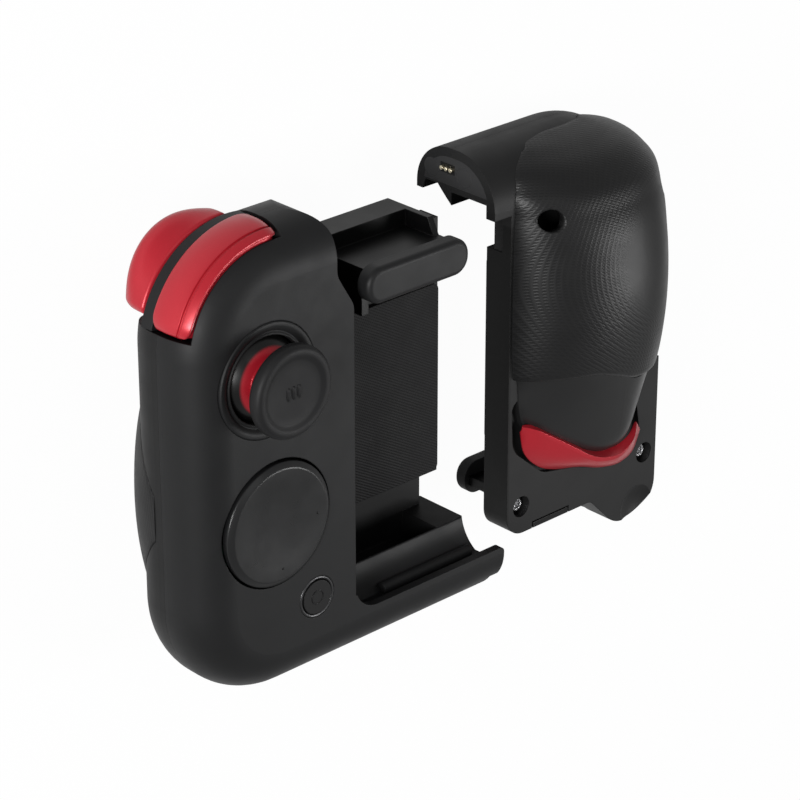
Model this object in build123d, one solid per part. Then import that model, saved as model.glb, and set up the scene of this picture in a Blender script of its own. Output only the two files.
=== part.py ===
"""Two-piece clip-on game controller for a phone.

The left unit lies face up on its grip, the right unit lies face down beside it.
Millimetres. X runs from the left unit to the right one, Y is the natural up of the
left unit, Z is up from the table. Every piece is a solid of its own.
"""
from build123d import *
from math import asin, cos, degrees, radians, sin, sqrt
import os

os.makedirs("parts", exist_ok=True)

# Sizes shared by both units
slab_depth = 23.0
slab_corner = 22.0
front_rim = 9.5
rear_rim = 11.0
shell_wall = 2.0
seam_depth = 10.3
plate_depth = 6.0
rest_pad_thickness = 1.0
fit_gap = 0.3
running_gap = 0.05
overrun = 6.0
small_edge = 0.8
quarter = 90.0

# Left unit: outline seen from its front
left_front_level = 35.0
left_edge_x = -52.3
left_inner_x = -12.0
left_shoulder_x = -16.2
left_arm_end_x = 27.4
left_top_y = 43.5
left_bottom_y = -54.2
shoulder_corner = 5.0
step_top_y = 31.0
step_bottom_y = 24.0
step_round = 4.0
inner_corner = 6.0
lip_end_x = 29.8
lip_end_top_corner = 1.2
lip_end_bottom_corner = 5.0

# Fixed jaw: depths behind the lip front, heights above the arm's outermost line
lip_height = 10.9
lip_thickness = 1.8
lip_back_depth = 2.6
trough_height = 8.6
slope_foot_depth = 6.2
slope_middle_depth = 8.9
slope_middle_height = 11.2
arm_rear_height = 15.0
ridge_height = 14.9
slot_floor_height = 9.5
slot_rear_depth = 20.5
end_block_length = 7.5
rib_depth = 6.3
rib_height = 9.2
rib_radius = 1.4
rib_x0 = 0.5
rib_x1 = 25.3

# Phone plate
plate_bottom_y = -31.2
plate_top_y = 26.0
plate_notch_width = 2.6
rest_pad_top_y = 12.7
rest_pad_margin = 0.7
rest_pad_corner = 1.5
web_depth = 20.5

# Sliding jaw
jaw_lip_x0 = -8.1
jaw_lip_x1 = 19.0
jaw_lip_y0 = 21.8
jaw_lip_height = 7.7
jaw_lip_depth = 3.3
jaw_lip_edge = 1.2
jaw_x0 = -4.0
jaw_x1 = 18.8
jaw_tray_y = 25.0
jaw_tray_thickness = 2.2
jaw_rail_low_y = 26.4
jaw_rail_top_y = 30.7
jaw_rail_front_depth = 17.0
jaw_rail_rear_depth = 23.6
jaw_bracket_foot_depth = 8.8
jaw_bracket_depth = 10.6
jaw_bracket_thickness = 1.4
jaw_skirt_y = 17.0
jaw_skirt_thickness = 1.8
jaw_travel = 22.0
rod_radius = 0.8
rod_inset = 4.0
rod_length = 46.0
rod_seat = 2.0
rod_depth = 20.5

# Arm end with its magnets and contacts
magnet_radius = 2.1
magnet_length = 4.0
magnet_height = 5.5
magnet_front_depth = 4.3
magnet_rear_depth = 13.9
arm_cap_thickness = 1.0
arm_cap_front_depth = 1.2
arm_cap_rear_depth = slab_depth - 1.5
arm_cap_low = 0.6
left_cap_high = 8.0
contact_depth = 9.1
contact_height = 4.6
contact_block_width = 4.2
contact_block_height = 2.2
contact_block_length = 3.4
contact_pin_radius = 0.5
contact_pin_length = 2.6

# Charge port of the left unit
port_x = -25.0
port_width = 8.9
port_height = 3.2
port_length = 7.3
port_wall = 0.35
port_corner = 1.5
port_tongue_width = 6.7
port_tongue_height = 0.7
port_inset = 0.5

# Stick
stick_x = left_edge_x + slab_corner - 3.7
stick_y = left_top_y - slab_corner - 6.5
socket_radius = 11.9
socket_hole_radius = 10.6
socket_rise = 0.3
stick_pivot_depth = 9.0
stick_dome_radius = 13.2
stick_dome_wall = 1.4
stick_dome_gap = 0.6
stick_dome_skirt = 6.2
stick_cap_radius = 9.4
stick_cap_top = 8.0
stick_cap_bottom = 4.7
stick_cap_edge = 1.2
stick_cap_dish = 0.5
stick_cap_dish_radius = 6.8
stick_spigot_radius = 2.2
stick_spigot_height = 1.8
stick_spigot_gap = 0.5
stick_shaft_radius = 2.2
yoke_outer = 5.2
yoke_inner = 3.7
yoke_half_height = 1.2
yoke_pin_radius = 0.7
yoke_pin_reach = 6.3
hub_half = 2.6
hub_pin_radius = 0.6
hub_pin_reach = 4.8
module_half = 6.8
module_wall = 1.2
module_rise = 2.4

# Direction disc
disc_x = -32.4
disc_y = -15.8
disc_radius = 13.0
disc_hole_radius = 13.5
disc_proud = 1.3
disc_thickness = 2.4
disc_edge = 0.6
disc_pivot_depth = 3.5
disc_hub_radius = 2.0
rocker_outer = 4.4
rocker_inner = 3.0
rocker_half_height = 0.9
rocker_pin_radius = 0.7
rocker_pin_reach = 5.5
disc_pin_radius = 0.6
disc_pin_reach = 4.0
disc_post_half = 6.0
disc_post_wall = 1.1

# Round mode button
mode_x = -22.4
mode_y = -35.6
mode_radius = 3.6
mode_ring_radius = 4.5
socket_thickness = 1.6
mode_ring_depth = 0.4
mode_proud = 0.2
mode_skirt = 2.6
mode_stem_radius = 1.5
button_travel = 0.4

mode_flange = 0.9
mode_flange_thickness = 1.0

# Board, battery and switches of the left unit
board_level = 19.4
board_thickness = 1.6
board_edge = 1.6
board_left_x = -48.4
board_right_x = -14.6
board_low_y = -50.0
board_top_y = 22.2
board_corner = 18.0
board_small_corner = 3.0
board_hole_radius = 1.1
boss_radius = 2.4
boss_top_depth = 2.0
screw_radius = 0.95
screw_head_radius = 1.9
screw_head_height = 1.3
screw_sink = 0.8
screw_tip_depth = 5.0
screw_points = [(-16.9, 8.0), (-16.9, -22.0), (-16.9, -45.0), (-43.0, -0.6), (-41.0, -35.0)]
switch_size = 4.6
switch_height = 1.8
battery_length = 18.0
battery_width = 25.0
battery_height = 4.4
battery_corner = 4.0
battery_x = -29.5
battery_y = -28.5

# Shoulder controls, all turned about the centre of the slab's top left corner
shoulder_start = 14.5
shoulder_end = 97.5
bumper_front_depth = 3.7
bumper_rear_depth = 12.3
bumper_proud = 0.8
bumper_wall = 2.6
bumper_lip_depth = 6.4
bumper_lip_width = 5.2
bumper_edge_width = 1.8
bumper_corner = 3.2
groove_angle = 25.5
groove_half_angle = 1.6
groove_cut = 0.5
ridge_rise = 0.35
ridge_end_angle = 36.0
strip_front_depth = 12.6
strip_rear_depth = 15.6
strip_inset = 0.3
trigger_front_depth = 16.2
trigger_rear_depth = 27.0
trigger_inset = 0.4
trigger_middle_depth = 21.6
trigger_middle_inset = 1.1
trigger_tip_inset = 4.5
trigger_front_width = 3.4
trigger_rear_width = 7.0
trigger_wall = 1.8
trigger_bulge_offset = 12.0
trigger_bulge_radius = 13.6
trigger_bulge_depth = 20.8
trigger_bulge_front_depth = 16.9
trigger_bulge_front_radius = 9.6
trigger_bulge_rear_radius = 8.0
well_width = 6.2
trigger_well_width = 9.4
end_gap_angle = 1.6
trigger_gap_angle = 4.5
hinge_inset = 3.4
hinge_pin_radius = 0.9
hinge_hub_radius = 1.7
hinge_hub_half = 3.0
hinge_ear_inner = 3.3
hinge_ear_outer = 5.3
hinge_ear_low_inset = 6.0
hinge_ear_high_inset = 1.8
hinge_slot_gap = 0.4
bumper_hinge_depth = 10.6
trigger_hinge_depth = 17.6
hinge_ear_margin = 2.0
hinge_lean = (shoulder_start + shoulder_end) / 2
hinge_reach = slab_corner - hinge_inset
hinge_ear_low = slab_corner - hinge_ear_low_inset
hinge_ear_high = slab_corner - hinge_ear_high_inset
well_radius = slab_corner - well_width
trigger_well_radius = slab_corner - trigger_well_width

# Grip of the left unit: along Y, across X and down in shares of its full size
grip_left_x = -52.3
grip_crown_x = -21.0
grip_right_x = -2.0
grip_low_y = -48.0
grip_high_y = 25.0
grip_wall = 2.0
grip_seat_level = 22.5
grip_shares = [(0, 0.62, 0.2), (0.08, 0.8, 0.62), (0.22, 0.93, 0.88), (0.42, 1, 1), (0.62, 0.99, 0.98),
               (0.8, 0.92, 0.84), (0.93, 0.78, 0.58), (1, 0.6, 0.2)]

# Right unit: outline as it would stand beside the phone, natural up as Y
right_flip_y = -18.2
right_plate_x = 42.5
right_arm_x = right_plate_x - 4.8
right_body_x = 62.0
right_edge_x = 89.2
right_corner = 23.0
right_top_y = 32.8
right_lobe_y = 41.1
right_lobe_x = 76.5
right_lobe_round = 7.5
right_notch_x = 68.5
right_notch_round = 2.0
right_plate_round = 5.0
right_plate_depth = 7.0
right_slab_y = 4.0
right_ridge_height = 12.4
right_slot_y = -33.0
right_cap_high = 8.2
right_jaw_shift = 2.6
right_dish_x = 73.4
right_dish_y = -4.0
right_dish_depth = 1.0
right_dish_floor = 1.0
right_dish_radius = 10.4
right_dish_edge = 1.0
right_button_radius = 2.8
right_button_flange = 0.7
right_button_flange_thickness = 0.9
right_button_ring = 5.7
right_button_top = 0.1
right_jaw_x0 = 50.6
right_jaw_x1 = 61.4
right_jaw_lip_x0 = 49.2
right_jaw_lip_x1 = 61.6
right_jaw_carriage_y = 14.0
right_jaw_carriage_thickness = 2.0
right_jaw_tongue = 1.3
right_rod_x = [52.6, 59.4]
right_rod_length = 50.0
right_rib_x0 = 39.5
right_rib_x1 = 61.0
right_pad_x0 = 43.4
right_pad_x1 = 61.2
right_board_x0 = 64.8
right_board_x1 = 86.0
right_board_low_y = -41.0
right_board_high_y = 28.0
right_board_depth = 9.0
right_board_corner = 3.0
right_board_round = 17.5
right_boss_points = [(68.0, -36.0), (82.0, -30.0), (67.0, 23.0), (80.0, 19.0)]
right_battery_x = 71.2
right_battery_y = -20.0
right_battery_length = 12.0
right_battery_width = 24.0
contact_pitch = 1.3
contact_reach = 0.8
contact_bore = 0.55

# Right unit: back as it lies, with the plate's rear face as its level
right_rear_level = 23.0
right_screw_points = [(46.9, -44.6), (85.4, -44.6), (48.6, 22.5), (84.4, 21.0)]
right_screw_hole_radius = 2.4
right_screw_seat = 20.4
right_screw_tip = 17.8
right_dome_base = 18.0
right_dome_wall_y = -12.0
right_dome_top_y = 24.0
right_dome_stations = [(34.6, 52.0, 62.0, 72.0, 18.6), (33.0, 46.0, 62.0, 77.5, 21.0), (28.0, 43.0, 64.0, 83.5, 27.0),
                       (22.0, 42.7, 66.0, 87.1, 30.5), (12.0, 42.7, 66.0, 89.0, 33.5), (0, 42.7, 66.0, 89.0, 34.6),
                       (-10.0, 42.8, 66.0, 89.0, 34.2), (-18.0, 43.6, 67.0, 88.6, 33.2),
                       (-26.0, 46.0, 68.0, 87.0, 31.0)]
crease_points = [(36.0, -14.2, 0), (58.0, -13.0, 9.0), (72.0, -19.0, 9.0), (95.0, -21.0, 0)]

# Nose below the grip and the right trigger, a lever hinged inside it
nose_stations = [(-8.0, 43.2, 67.0, 87.6, 33.4), (-14.0, 43.4, 67.4, 87.0, 33.2), (-20.0, 43.8, 68.4, 85.2, 32.4),
                 (-25.0, 45.0, 69.2, 83.0, 31.4), (-29.0, 48.0, 69.6, 81.4, 30.6), (-32.6, 52.4, 69.8, 80.0, 29.8),
                 (-35.4, 57.4, 69.6, 78.4, 28.6), (-37.4, 62.0, 69.4, 76.0, 26.0)]
nose_cavity_x0 = 62.0
nose_cavity_x1 = 76.4
nose_cavity_y0 = -40.0
nose_cavity_y1 = -21.4
nose_cavity_level = 27.0
lever_foot = [(43.9, -19.6, 2.0), (44.4, -30.4, 5.0), (53.4, -38.2, 5.0), (63.0, -40.2, 4.0), (75.4, -44.4, 7.0),
              (83.4, -38.6, 4.0), (81.4, -28.0, 2.0), (64.0, -17.0, 2.0)]
lever_ridge = [(44.8, -18.4, 2.0), (46.4, -24.0, 3.0), (55.6, -30.4, 4.0), (60.6, -36.4, 3.0), (68.6, -39.4, 5.0),
               (76.4, -36.4, 4.0), (76.8, -27.0, 2.0), (64.0, -16.0, 2.0)]
lever_travel = 4.0
lever_rim = 1.6
lever_cap_stations = [(-18.0, 41.0, 68.0, 87.0, 33.2), (-26.0, 41.0, 69.2, 86.0, 31.6), (-31.0, 41.4, 69.6, 85.0, 30.9),
                      (-35.0, 43.0, 69.6, 84.2, 30.6), (-39.0, 46.0, 69.6, 83.6, 30.2), (-46.0, 50.0, 69.6, 84.0, 27.0)]
lever_gap = 0.4
lever_low_level = 23.3
lever_top_level = 30.4
lever_well_level = 21.7
lever_start_y = -20.0
lever_pin_x0 = 58.0
lever_pin_x1 = 80.0
lever_pin_y = -24.0
lever_pin_level = 24.9
lever_arm_x0 = 63.0
lever_arm_x1 = 75.4
lever_arm_y0 = -37.2
lever_arm_half = 1.2

# Scoop in the back of the right lobe
scoop_x = 83.4
scoop_y = -57.2
scoop_radius = 5.0
scoop_depth = 1.2


def block(x0, x1, y0, y1, z0, z1):
    """Box between two corners."""
    return Pos((x0 + x1) / 2, (y0 + y1) / 2, (z0 + z1) / 2) * Box(x1 - x0, y1 - y0, z1 - z0)


def post(x, y, z0, z1, radius):
    """Upright cylinder between two levels."""
    return Pos(x, y, (z0 + z1) / 2) * Cylinder(radius, z1 - z0)


def bar_x(x0, x1, y, z, radius):
    """Cylinder along X."""
    return Pos((x0 + x1) / 2, y, z) * Rot(0, quarter, 0) * Cylinder(radius, x1 - x0)


def bar_y(x, y0, y1, z, radius):
    """Cylinder along Y."""
    return Pos(x, (y0 + y1) / 2, z) * Rot(quarter, 0, 0) * Cylinder(radius, y1 - y0)


def upright(face, z0, z1):
    """Plan face raised between two levels."""
    return extrude(Pos(0, 0, z0) * face, z1 - z0)


def turned(points, x, y, start, sweep):
    """Section in (radius, z) turned about an upright axis; angles start at -X, towards +Y."""
    face = make_face(Polyline(*[(-radius, 0, z) for radius, z in points], close=True))
    solid = revolve(face, Axis.Z, sweep)
    return Pos(x, y, 0) * Rot(0, 0, -start - sweep) * solid


def pillow(x0, x1, y0, y1, z0, z1, corner, low_rim, high_rim):
    """Slab with round plan corners and broad round rims below and above."""
    plan = Pos((x0 + x1) / 2, (y0 + y1) / 2, z0) * RectangleRounded(x1 - x0, y1 - y0, corner)
    slab = extrude(plan, z1 - z0)
    slab = fillet(slab.faces().sort_by(Axis.Z)[-1].edges(), high_rim)
    return fillet(slab.faces().sort_by(Axis.Z)[0].edges(), low_rim)


def deep(depth):
    """Level of a depth measured behind the front of a unit."""
    return left_front_level - depth


def high(height):
    """Y of a height above the outermost line of the fixed jaw."""
    return left_bottom_y + height


def jaw_cutter(x0, x1, ridge):
    """Space above the fixed jaw, in front of the seam: lip, trough and hollow slope."""
    foot = (x0, high(trough_height), deep(slope_foot_depth))
    crest = (x0, high(ridge), deep(seam_depth))
    middle = (x0, high(slope_middle_height), deep(slope_middle_depth))
    edge = Polyline(
        crest,
        (x0, left_top_y + overrun, deep(seam_depth)),
        (x0, left_top_y + overrun, deep(-overrun)),
        (x0, high(lip_height), deep(-overrun)),
        (x0, high(lip_height), deep(lip_thickness)),
        (x0, high(trough_height), deep(lip_back_depth)),
        foot,
    )
    return extrude(make_face(edge + ThreePointArc(foot, middle, crest)), x1 - x0, dir=(1, 0, 0))


def envelope(x0, x1, inset):
    """Outer form of a unit, drawn in by an inset on every side."""
    return pillow(x0 + inset, x1 - inset, left_bottom_y + inset, left_top_y - inset,
                  deep(slab_depth) + inset, left_front_level - inset,
                  slab_corner - inset, rear_rim - inset, front_rim - inset)


def rounded(corners):
    """Closed plan from (x, y, corner radius) points; a radius of zero keeps the corner sharp."""
    count = len(corners)
    pieces = []
    stops = []
    for index in range(count):
        here = Vector(corners[index][0], corners[index][1])
        before = Vector(corners[index - 1][0], corners[index - 1][1])
        after = Vector(corners[(index + 1) % count][0], corners[(index + 1) % count][1])
        radius = corners[index][2]
        back = (before - here).normalized()
        ahead = (after - here).normalized()
        if radius == 0:
            stops.append((here, here, here))
            continue
        half = radians(back.get_angle(ahead)) / 2
        reach = radius * cos(half) / sin(half)
        middle = here + (back + ahead).normalized() * (radius / sin(half) - radius)
        stops.append((here + back * reach, middle, here + ahead * reach))
    for index in range(count):
        start, middle, end = stops[index]
        if (end - start).length > 0:
            pieces.append(ThreePointArc(start, middle, end))
        pieces.append(Line(end, stops[(index + 1) % count][0]))
    return make_face(pieces)


def ring(x, y, z0, z1, outer, inner):
    """Flat ring between two levels."""
    return post(x, y, z0, z1, outer) - post(x, y, z0 - small_edge, z1 + small_edge, inner)


def square_tube(x, y, z0, z1, outer, inner):
    """Square frame between two levels, given by its half widths."""
    shell = block(x - outer, x + outer, y - outer, y + outer, z0, z1)
    return shell - block(x - inner, x + inner, y - inner, y + inner, z0 - small_edge, z1 + small_edge)


# Left unit: outlines
left_far_x = left_arm_end_x + slab_corner + overrun
corner_x = left_edge_x + slab_corner
corner_y = left_top_y - slab_corner
seam_level = deep(seam_depth)
rear_level = deep(slab_depth)
pivot_level = deep(stick_pivot_depth)
disc_pivot_level = deep(disc_pivot_depth)
board_top = board_level + board_thickness


def left_body_plan(inset):
    """Body outline beside the phone, drawn in by an inset at its inner side."""
    return rounded([
        (left_edge_x - overrun, left_bottom_y - overrun, 0),
        (left_inner_x - inset, left_bottom_y - overrun, 0),
        (left_inner_x - inset, step_bottom_y, step_round),
        (left_shoulder_x - inset, step_top_y, step_round),
        (left_shoulder_x - inset, left_top_y - inset, shoulder_corner - inset),
        (left_edge_x - overrun, left_top_y - inset, 0),
    ])


def well(inner, lower, low_gap, high_gap, top):
    """Space of the shoulder controls round the top left corner, open to the outside."""
    far = slab_corner + overrun
    shelf = deep(strip_rear_depth)
    points = [(inner, top), (far, top), (far, -overrun), (lower, -overrun), (lower, shelf), (inner, shelf)]
    start = shoulder_start - low_gap
    return turned(points, corner_x, corner_y, start, shoulder_end + high_gap - start)


def left_well():
    return well(well_radius, trigger_well_radius, end_gap_angle, end_gap_angle,
                deep(bumper_front_depth) + fit_gap)


def left_well_wall():
    wall_angle = degrees(shell_wall / well_radius)
    return well(well_radius - shell_wall, trigger_well_radius - shell_wall,
                end_gap_angle + wall_angle, end_gap_angle + wall_angle,
                deep(bumper_front_depth) + fit_gap + shell_wall)


left_outer = envelope(left_edge_x, left_far_x, 0)
left_inner = envelope(left_edge_x, left_far_x, shell_wall)
left_cavity = left_inner & upright(left_body_plan(shell_wall), 0, left_front_level)
left_cavity -= left_well_wall()


# Arm end
def arm_magnets(x_end, inward, y, front_depth, rear_depth):
    solids = []
    for depth in (front_depth, rear_depth):
        x0 = x_end
        x1 = x0 + inward * magnet_length
        solids.append(bar_x(min(x0, x1), max(x0, x1), y, deep(depth), magnet_radius))
    return solids


def joined(solids):
    whole = solids[0]
    for solid in solids[1:]:
        whole = whole + solid
    return whole


def arm_cap_zone(x_end, inward, outline, cap_high):
    """Dark end plate of an arm, with its outline drawn in from the arm's own section."""
    far = x_end + inward * arm_cap_thickness
    zone = block(min(x_end, far), max(x_end, far), high(arm_cap_low), high(cap_high), deep(arm_cap_rear_depth),
                 deep(arm_cap_front_depth))
    return zone & outline


def contact_housing(x_end, inward, extra):
    """Block behind the sprung contacts of an arm end."""
    x0 = x_end + inward * (arm_cap_thickness - extra)
    x1 = x_end + inward * (arm_cap_thickness + contact_block_length)
    half_y = contact_block_height / 2
    half_z = contact_block_width / 2
    return block(min(x0, x1), max(x0, x1), high(contact_height) - half_y, high(contact_height) + half_y,
                 deep(contact_depth) - half_z, deep(contact_depth) + half_z)


def contact_rods(x0, x1, radius):
    solids = []
    for step in (-1, 0, 1):
        solids.append(bar_x(min(x0, x1), max(x0, x1), high(contact_height), deep(contact_depth + step * contact_pitch),
                            radius))
    return joined(solids)


def left_arm_recesses():
    tools = arm_cap_zone(left_arm_end_x, -1, left_inner, left_cap_high)
    tools += contact_housing(left_arm_end_x, -1, arm_cap_thickness)
    for magnet in arm_magnets(left_arm_end_x, -1, high(magnet_height), magnet_front_depth, magnet_rear_depth):
        tools += magnet
    return tools


def port_body(inset, wall):
    """Rounded tube of the charge port, standing on the board."""
    z = board_top + port_height / 2
    plane = Plane(origin=(port_x, left_bottom_y + inset, z), x_dir=(1, 0, 0), z_dir=(0, -1, 0))
    face = plane * RectangleRounded(port_width - wall * 2, port_height - wall * 2, port_corner - wall)
    return extrude(face, port_length, dir=(0, 1, 0))


def jaw_mouth(height):
    """Plan of the space beside the body, with a round corner at the fixed jaw."""
    return rounded([
        (left_inner_x, high(height), inner_corner),
        (left_far_x, high(height), 0),
        (left_far_x, left_top_y + overrun, 0),
        (left_inner_x, left_top_y + overrun, 0),
    ])


def lip_end():
    """Rounded free end of the fixed jaw's lip, standing out beyond the arm."""
    plan = rounded([
        (left_arm_end_x - overrun, left_bottom_y, 0),
        (lip_end_x, left_bottom_y, lip_end_bottom_corner),
        (lip_end_x, high(lip_height), lip_end_top_corner),
        (left_arm_end_x - overrun, high(lip_height), 0),
    ])
    return left_outer & upright(plan, deep(lip_thickness), left_front_level)


def left_front_shell():
    zone = upright(left_body_plan(0), seam_level, left_front_level)
    zone += block(left_inner_x - overrun, left_arm_end_x, left_bottom_y - overrun, high(ridge_height),
                  seam_level, left_front_level)
    shell = left_outer & zone
    space = jaw_cutter(left_inner_x, left_far_x, ridge_height)
    shell -= space & upright(jaw_mouth(trough_height - small_edge), 0, deep(lip_thickness))
    shell -= space & upright(jaw_mouth(lip_height), deep(lip_thickness), left_front_level + overrun)
    shell += lip_end()
    shell -= left_cavity
    for x, y in screw_points:
        shell += post(x, y, board_top, deep(boss_top_depth), boss_radius)
        shell -= post(x, y, board_top - small_edge, deep(screw_tip_depth) + small_edge, screw_radius)
    shell -= left_well()
    shell -= left_arm_recesses()
    shell -= post(stick_x, stick_y, seam_level, left_front_level + overrun, socket_hole_radius)
    shell -= post(stick_x, stick_y, deep(socket_thickness), left_front_level + overrun, socket_radius)
    shell -= Pos(stick_x, stick_y, pivot_level) * Sphere(stick_dome_radius + stick_dome_gap)
    shell -= post(disc_x, disc_y, seam_level, left_front_level + overrun, disc_hole_radius)
    shell -= post(mode_x, mode_y, seam_level, left_front_level + overrun, mode_radius + running_gap)
    shell -= post(mode_x, mode_y, deep(mode_ring_depth), left_front_level + overrun, mode_ring_radius)
    return shell


def left_plate_block():
    plate = block(left_inner_x - shell_wall, left_arm_end_x, plate_bottom_y, plate_top_y,
                  rear_level, deep(slab_depth - plate_depth + rest_pad_thickness))
    web = block(left_inner_x - shell_wall, left_arm_end_x - plate_notch_width, high(arm_rear_height) - overrun,
                plate_bottom_y + small_edge, rear_level, deep(web_depth))
    return plate + web


def rod_stations(x0, x1):
    return [x0 + rod_inset, x1 - rod_inset]


def rods(x0, x1, shift, extra):
    """Two guide rods that ride with the sliding jaw."""
    top = jaw_rail_low_y + rod_seat + shift
    solid = [bar_y(x, top - rod_length, top, deep(rod_depth), rod_radius + extra) for x in rod_stations(x0, x1)]
    return solid[0] + solid[1]


def left_rear_shell():
    zone = upright(left_body_plan(0), rear_level - overrun, seam_level)
    zone += block(left_inner_x - overrun, left_arm_end_x, left_bottom_y - overrun, high(arm_rear_height),
                  rear_level - overrun, seam_level)
    shell = left_outer & zone
    shell += left_plate_block()
    shell -= block(left_inner_x, left_arm_end_x - end_block_length, high(slot_floor_height), plate_bottom_y,
                   deep(slot_rear_depth), seam_level + overrun)
    shell -= left_cavity
    for x, y in screw_points:
        shell += post(x, y, rear_level, board_level, boss_radius) & left_outer
        shell -= post(x, y, rear_level - small_edge, board_level + small_edge, board_hole_radius)
        shell -= post(x, y, rear_level - overrun, rear_level + screw_sink + screw_head_height, screw_head_radius + fit_gap)
    shell -= left_well()
    shell -= left_arm_recesses()
    shell -= port_body(-overrun, 0)
    shell -= port_body(port_inset, 0)
    top = jaw_rail_low_y + rod_seat
    for x in rod_stations(jaw_x0, jaw_x1):
        shell -= bar_y(x, top - rod_length - fit_gap, top, deep(rod_depth), rod_radius + running_gap)
    return shell


def half_oval(y, x0, crown_x, x1, base, crown, up):
    """Half oval in an XZ plane; up is 1 for a dome above its base level and -1 for one below."""
    plane = Plane(origin=(crown_x, y, base), x_dir=(1, 0, 0), z_dir=(0, -up, 0))
    rise = abs(crown - base)
    left = EllipticalCenterArc((0, 0), crown_x - x0, rise, start_angle=quarter, arc_size=quarter)
    right = EllipticalCenterArc((0, 0), x1 - crown_x, rise, start_angle=0, arc_size=quarter)
    return plane * make_face([left, right, Line((x0 - crown_x, 0), (x1 - crown_x, 0))])


def dome(stations, base, up):
    """Body lofted along Y through half ovals given as (y, left x, crown x, right x, crown level)."""
    return loft([half_oval(y, x0, xc, x1, base, crown, up) for y, x0, xc, x1, crown in stations])


def left_grip(inset):
    stations = []
    for y_share, width_share, depth_share in grip_shares:
        y = grip_low_y + inset + (grip_high_y - grip_low_y - inset * 2) * y_share
        left = grip_crown_x - (grip_crown_x - grip_left_x - inset) * width_share
        right = grip_crown_x + (grip_right_x - grip_crown_x - inset) * width_share
        stations.append((y, left, grip_crown_x, right, grip_seat_level - (grip_seat_level - inset) * depth_share))
    return dome(stations, grip_seat_level, -1)


def left_grip_cover():
    cover = left_grip(0) - left_grip(grip_wall)
    cover -= left_outer & block(left_edge_x - overrun, left_far_x, left_bottom_y - overrun, left_top_y + overrun,
                                -overrun, left_front_level)
    cover -= block(left_edge_x - overrun, left_far_x, left_bottom_y - overrun, left_top_y + overrun,
                   rear_level, left_front_level) - block(left_edge_x - overrun, corner_x, left_bottom_y - overrun,
                                                         left_top_y + overrun, rear_level, left_front_level)
    return cover.solids().sort_by(SortBy.VOLUME)[-1]


def left_rest_pad():
    level = deep(slab_depth - plate_depth)
    plan = Pos((left_inner_x + left_arm_end_x) / 2, (plate_bottom_y + rest_pad_top_y) / 2)
    width = left_arm_end_x - left_inner_x - rest_pad_margin * 2
    plan *= RectangleRounded(width, rest_pad_top_y - plate_bottom_y - rest_pad_margin * 2, rest_pad_corner)
    return upright(plan, level - rest_pad_thickness, level)


def jaw_rib(x0, x1, ridge):
    """Soft rib along the foot of the jaw's hollow slope."""
    return bar_x(x0, x1, high(rib_height), deep(rib_depth), rib_radius) & jaw_cutter(x0 - overrun, x1 + overrun, ridge)


def jaw_lip(x0, x1, shift):
    plan = Pos((x0 + x1) / 2, jaw_lip_y0 + shift + jaw_lip_height / 2)
    plan *= RectangleRounded(x1 - x0, jaw_lip_height, jaw_lip_height / 2 - small_edge / 4)
    lip = upright(plan, deep(jaw_lip_depth), left_front_level)
    return fillet(lip.faces().sort_by(Axis.Z)[-1].edges(), jaw_lip_edge)


def sliding_jaw(x0, x1, wall_x0, wall_x1, shift):
    """Jaw body: tray, skirts, curved end wall and the rear rail that holds the guide rods."""
    y = jaw_tray_y + shift
    low = jaw_rail_low_y + shift
    front = deep(jaw_lip_depth)
    body = block(x0, x1, y, y + jaw_tray_thickness, deep(jaw_rail_front_depth), front)
    body += block(x0, x1, low, jaw_rail_top_y + shift, deep(jaw_rail_rear_depth), deep(jaw_rail_front_depth))
    rear = deep(jaw_rail_front_depth)
    body += block(wall_x0, wall_x1, jaw_skirt_y + shift, y + small_edge, rear, front - jaw_lip_depth)
    return body


def left_sliding_jaw():
    body = sliding_jaw(jaw_x0, jaw_x1, jaw_x0, jaw_x0 + jaw_skirt_thickness, 0)
    top = jaw_rail_top_y
    foot = (jaw_x1, jaw_tray_y, deep(jaw_bracket_foot_depth))
    edge = Polyline(
        (jaw_x1, top, deep(jaw_bracket_depth)),
        (jaw_x1, top, deep(jaw_rail_rear_depth)),
        (jaw_x1, jaw_rail_low_y, deep(jaw_rail_rear_depth)),
        (jaw_x1, jaw_rail_low_y, deep(jaw_rail_front_depth)),
        (jaw_x1, jaw_tray_y, deep(jaw_rail_front_depth)),
        foot,
        (jaw_x1, jaw_tray_y + jaw_tray_thickness, deep(jaw_bracket_foot_depth)),
        close=True,
    )
    body += extrude(make_face(edge), jaw_bracket_thickness, dir=(-1, 0, 0))
    body += block(left_inner_x + fit_gap, jaw_x1, jaw_rail_low_y, jaw_rail_top_y,
                  deep(jaw_rail_rear_depth), deep(jaw_rail_front_depth))
    return body - rods(jaw_x0, jaw_x1, 0, 0)


def left_stick_socket():
    socket = ring(stick_x, stick_y, deep(socket_thickness), left_front_level + socket_rise,
                  socket_radius, socket_hole_radius)
    return socket - Pos(stick_x, stick_y, pivot_level) * Sphere(stick_dome_radius + stick_dome_gap)


def left_stick_base():
    base = square_tube(stick_x, stick_y, board_top, pivot_level + module_rise, module_half, module_half - module_wall)
    base += block(stick_x - module_half, stick_x + module_half, stick_y - module_half, stick_y + module_half,
                  board_top, board_top + small_edge)
    return base - bar_x(stick_x - module_half - overrun, stick_x + module_half + overrun, stick_y, pivot_level,
                        yoke_pin_radius + running_gap)


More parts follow.
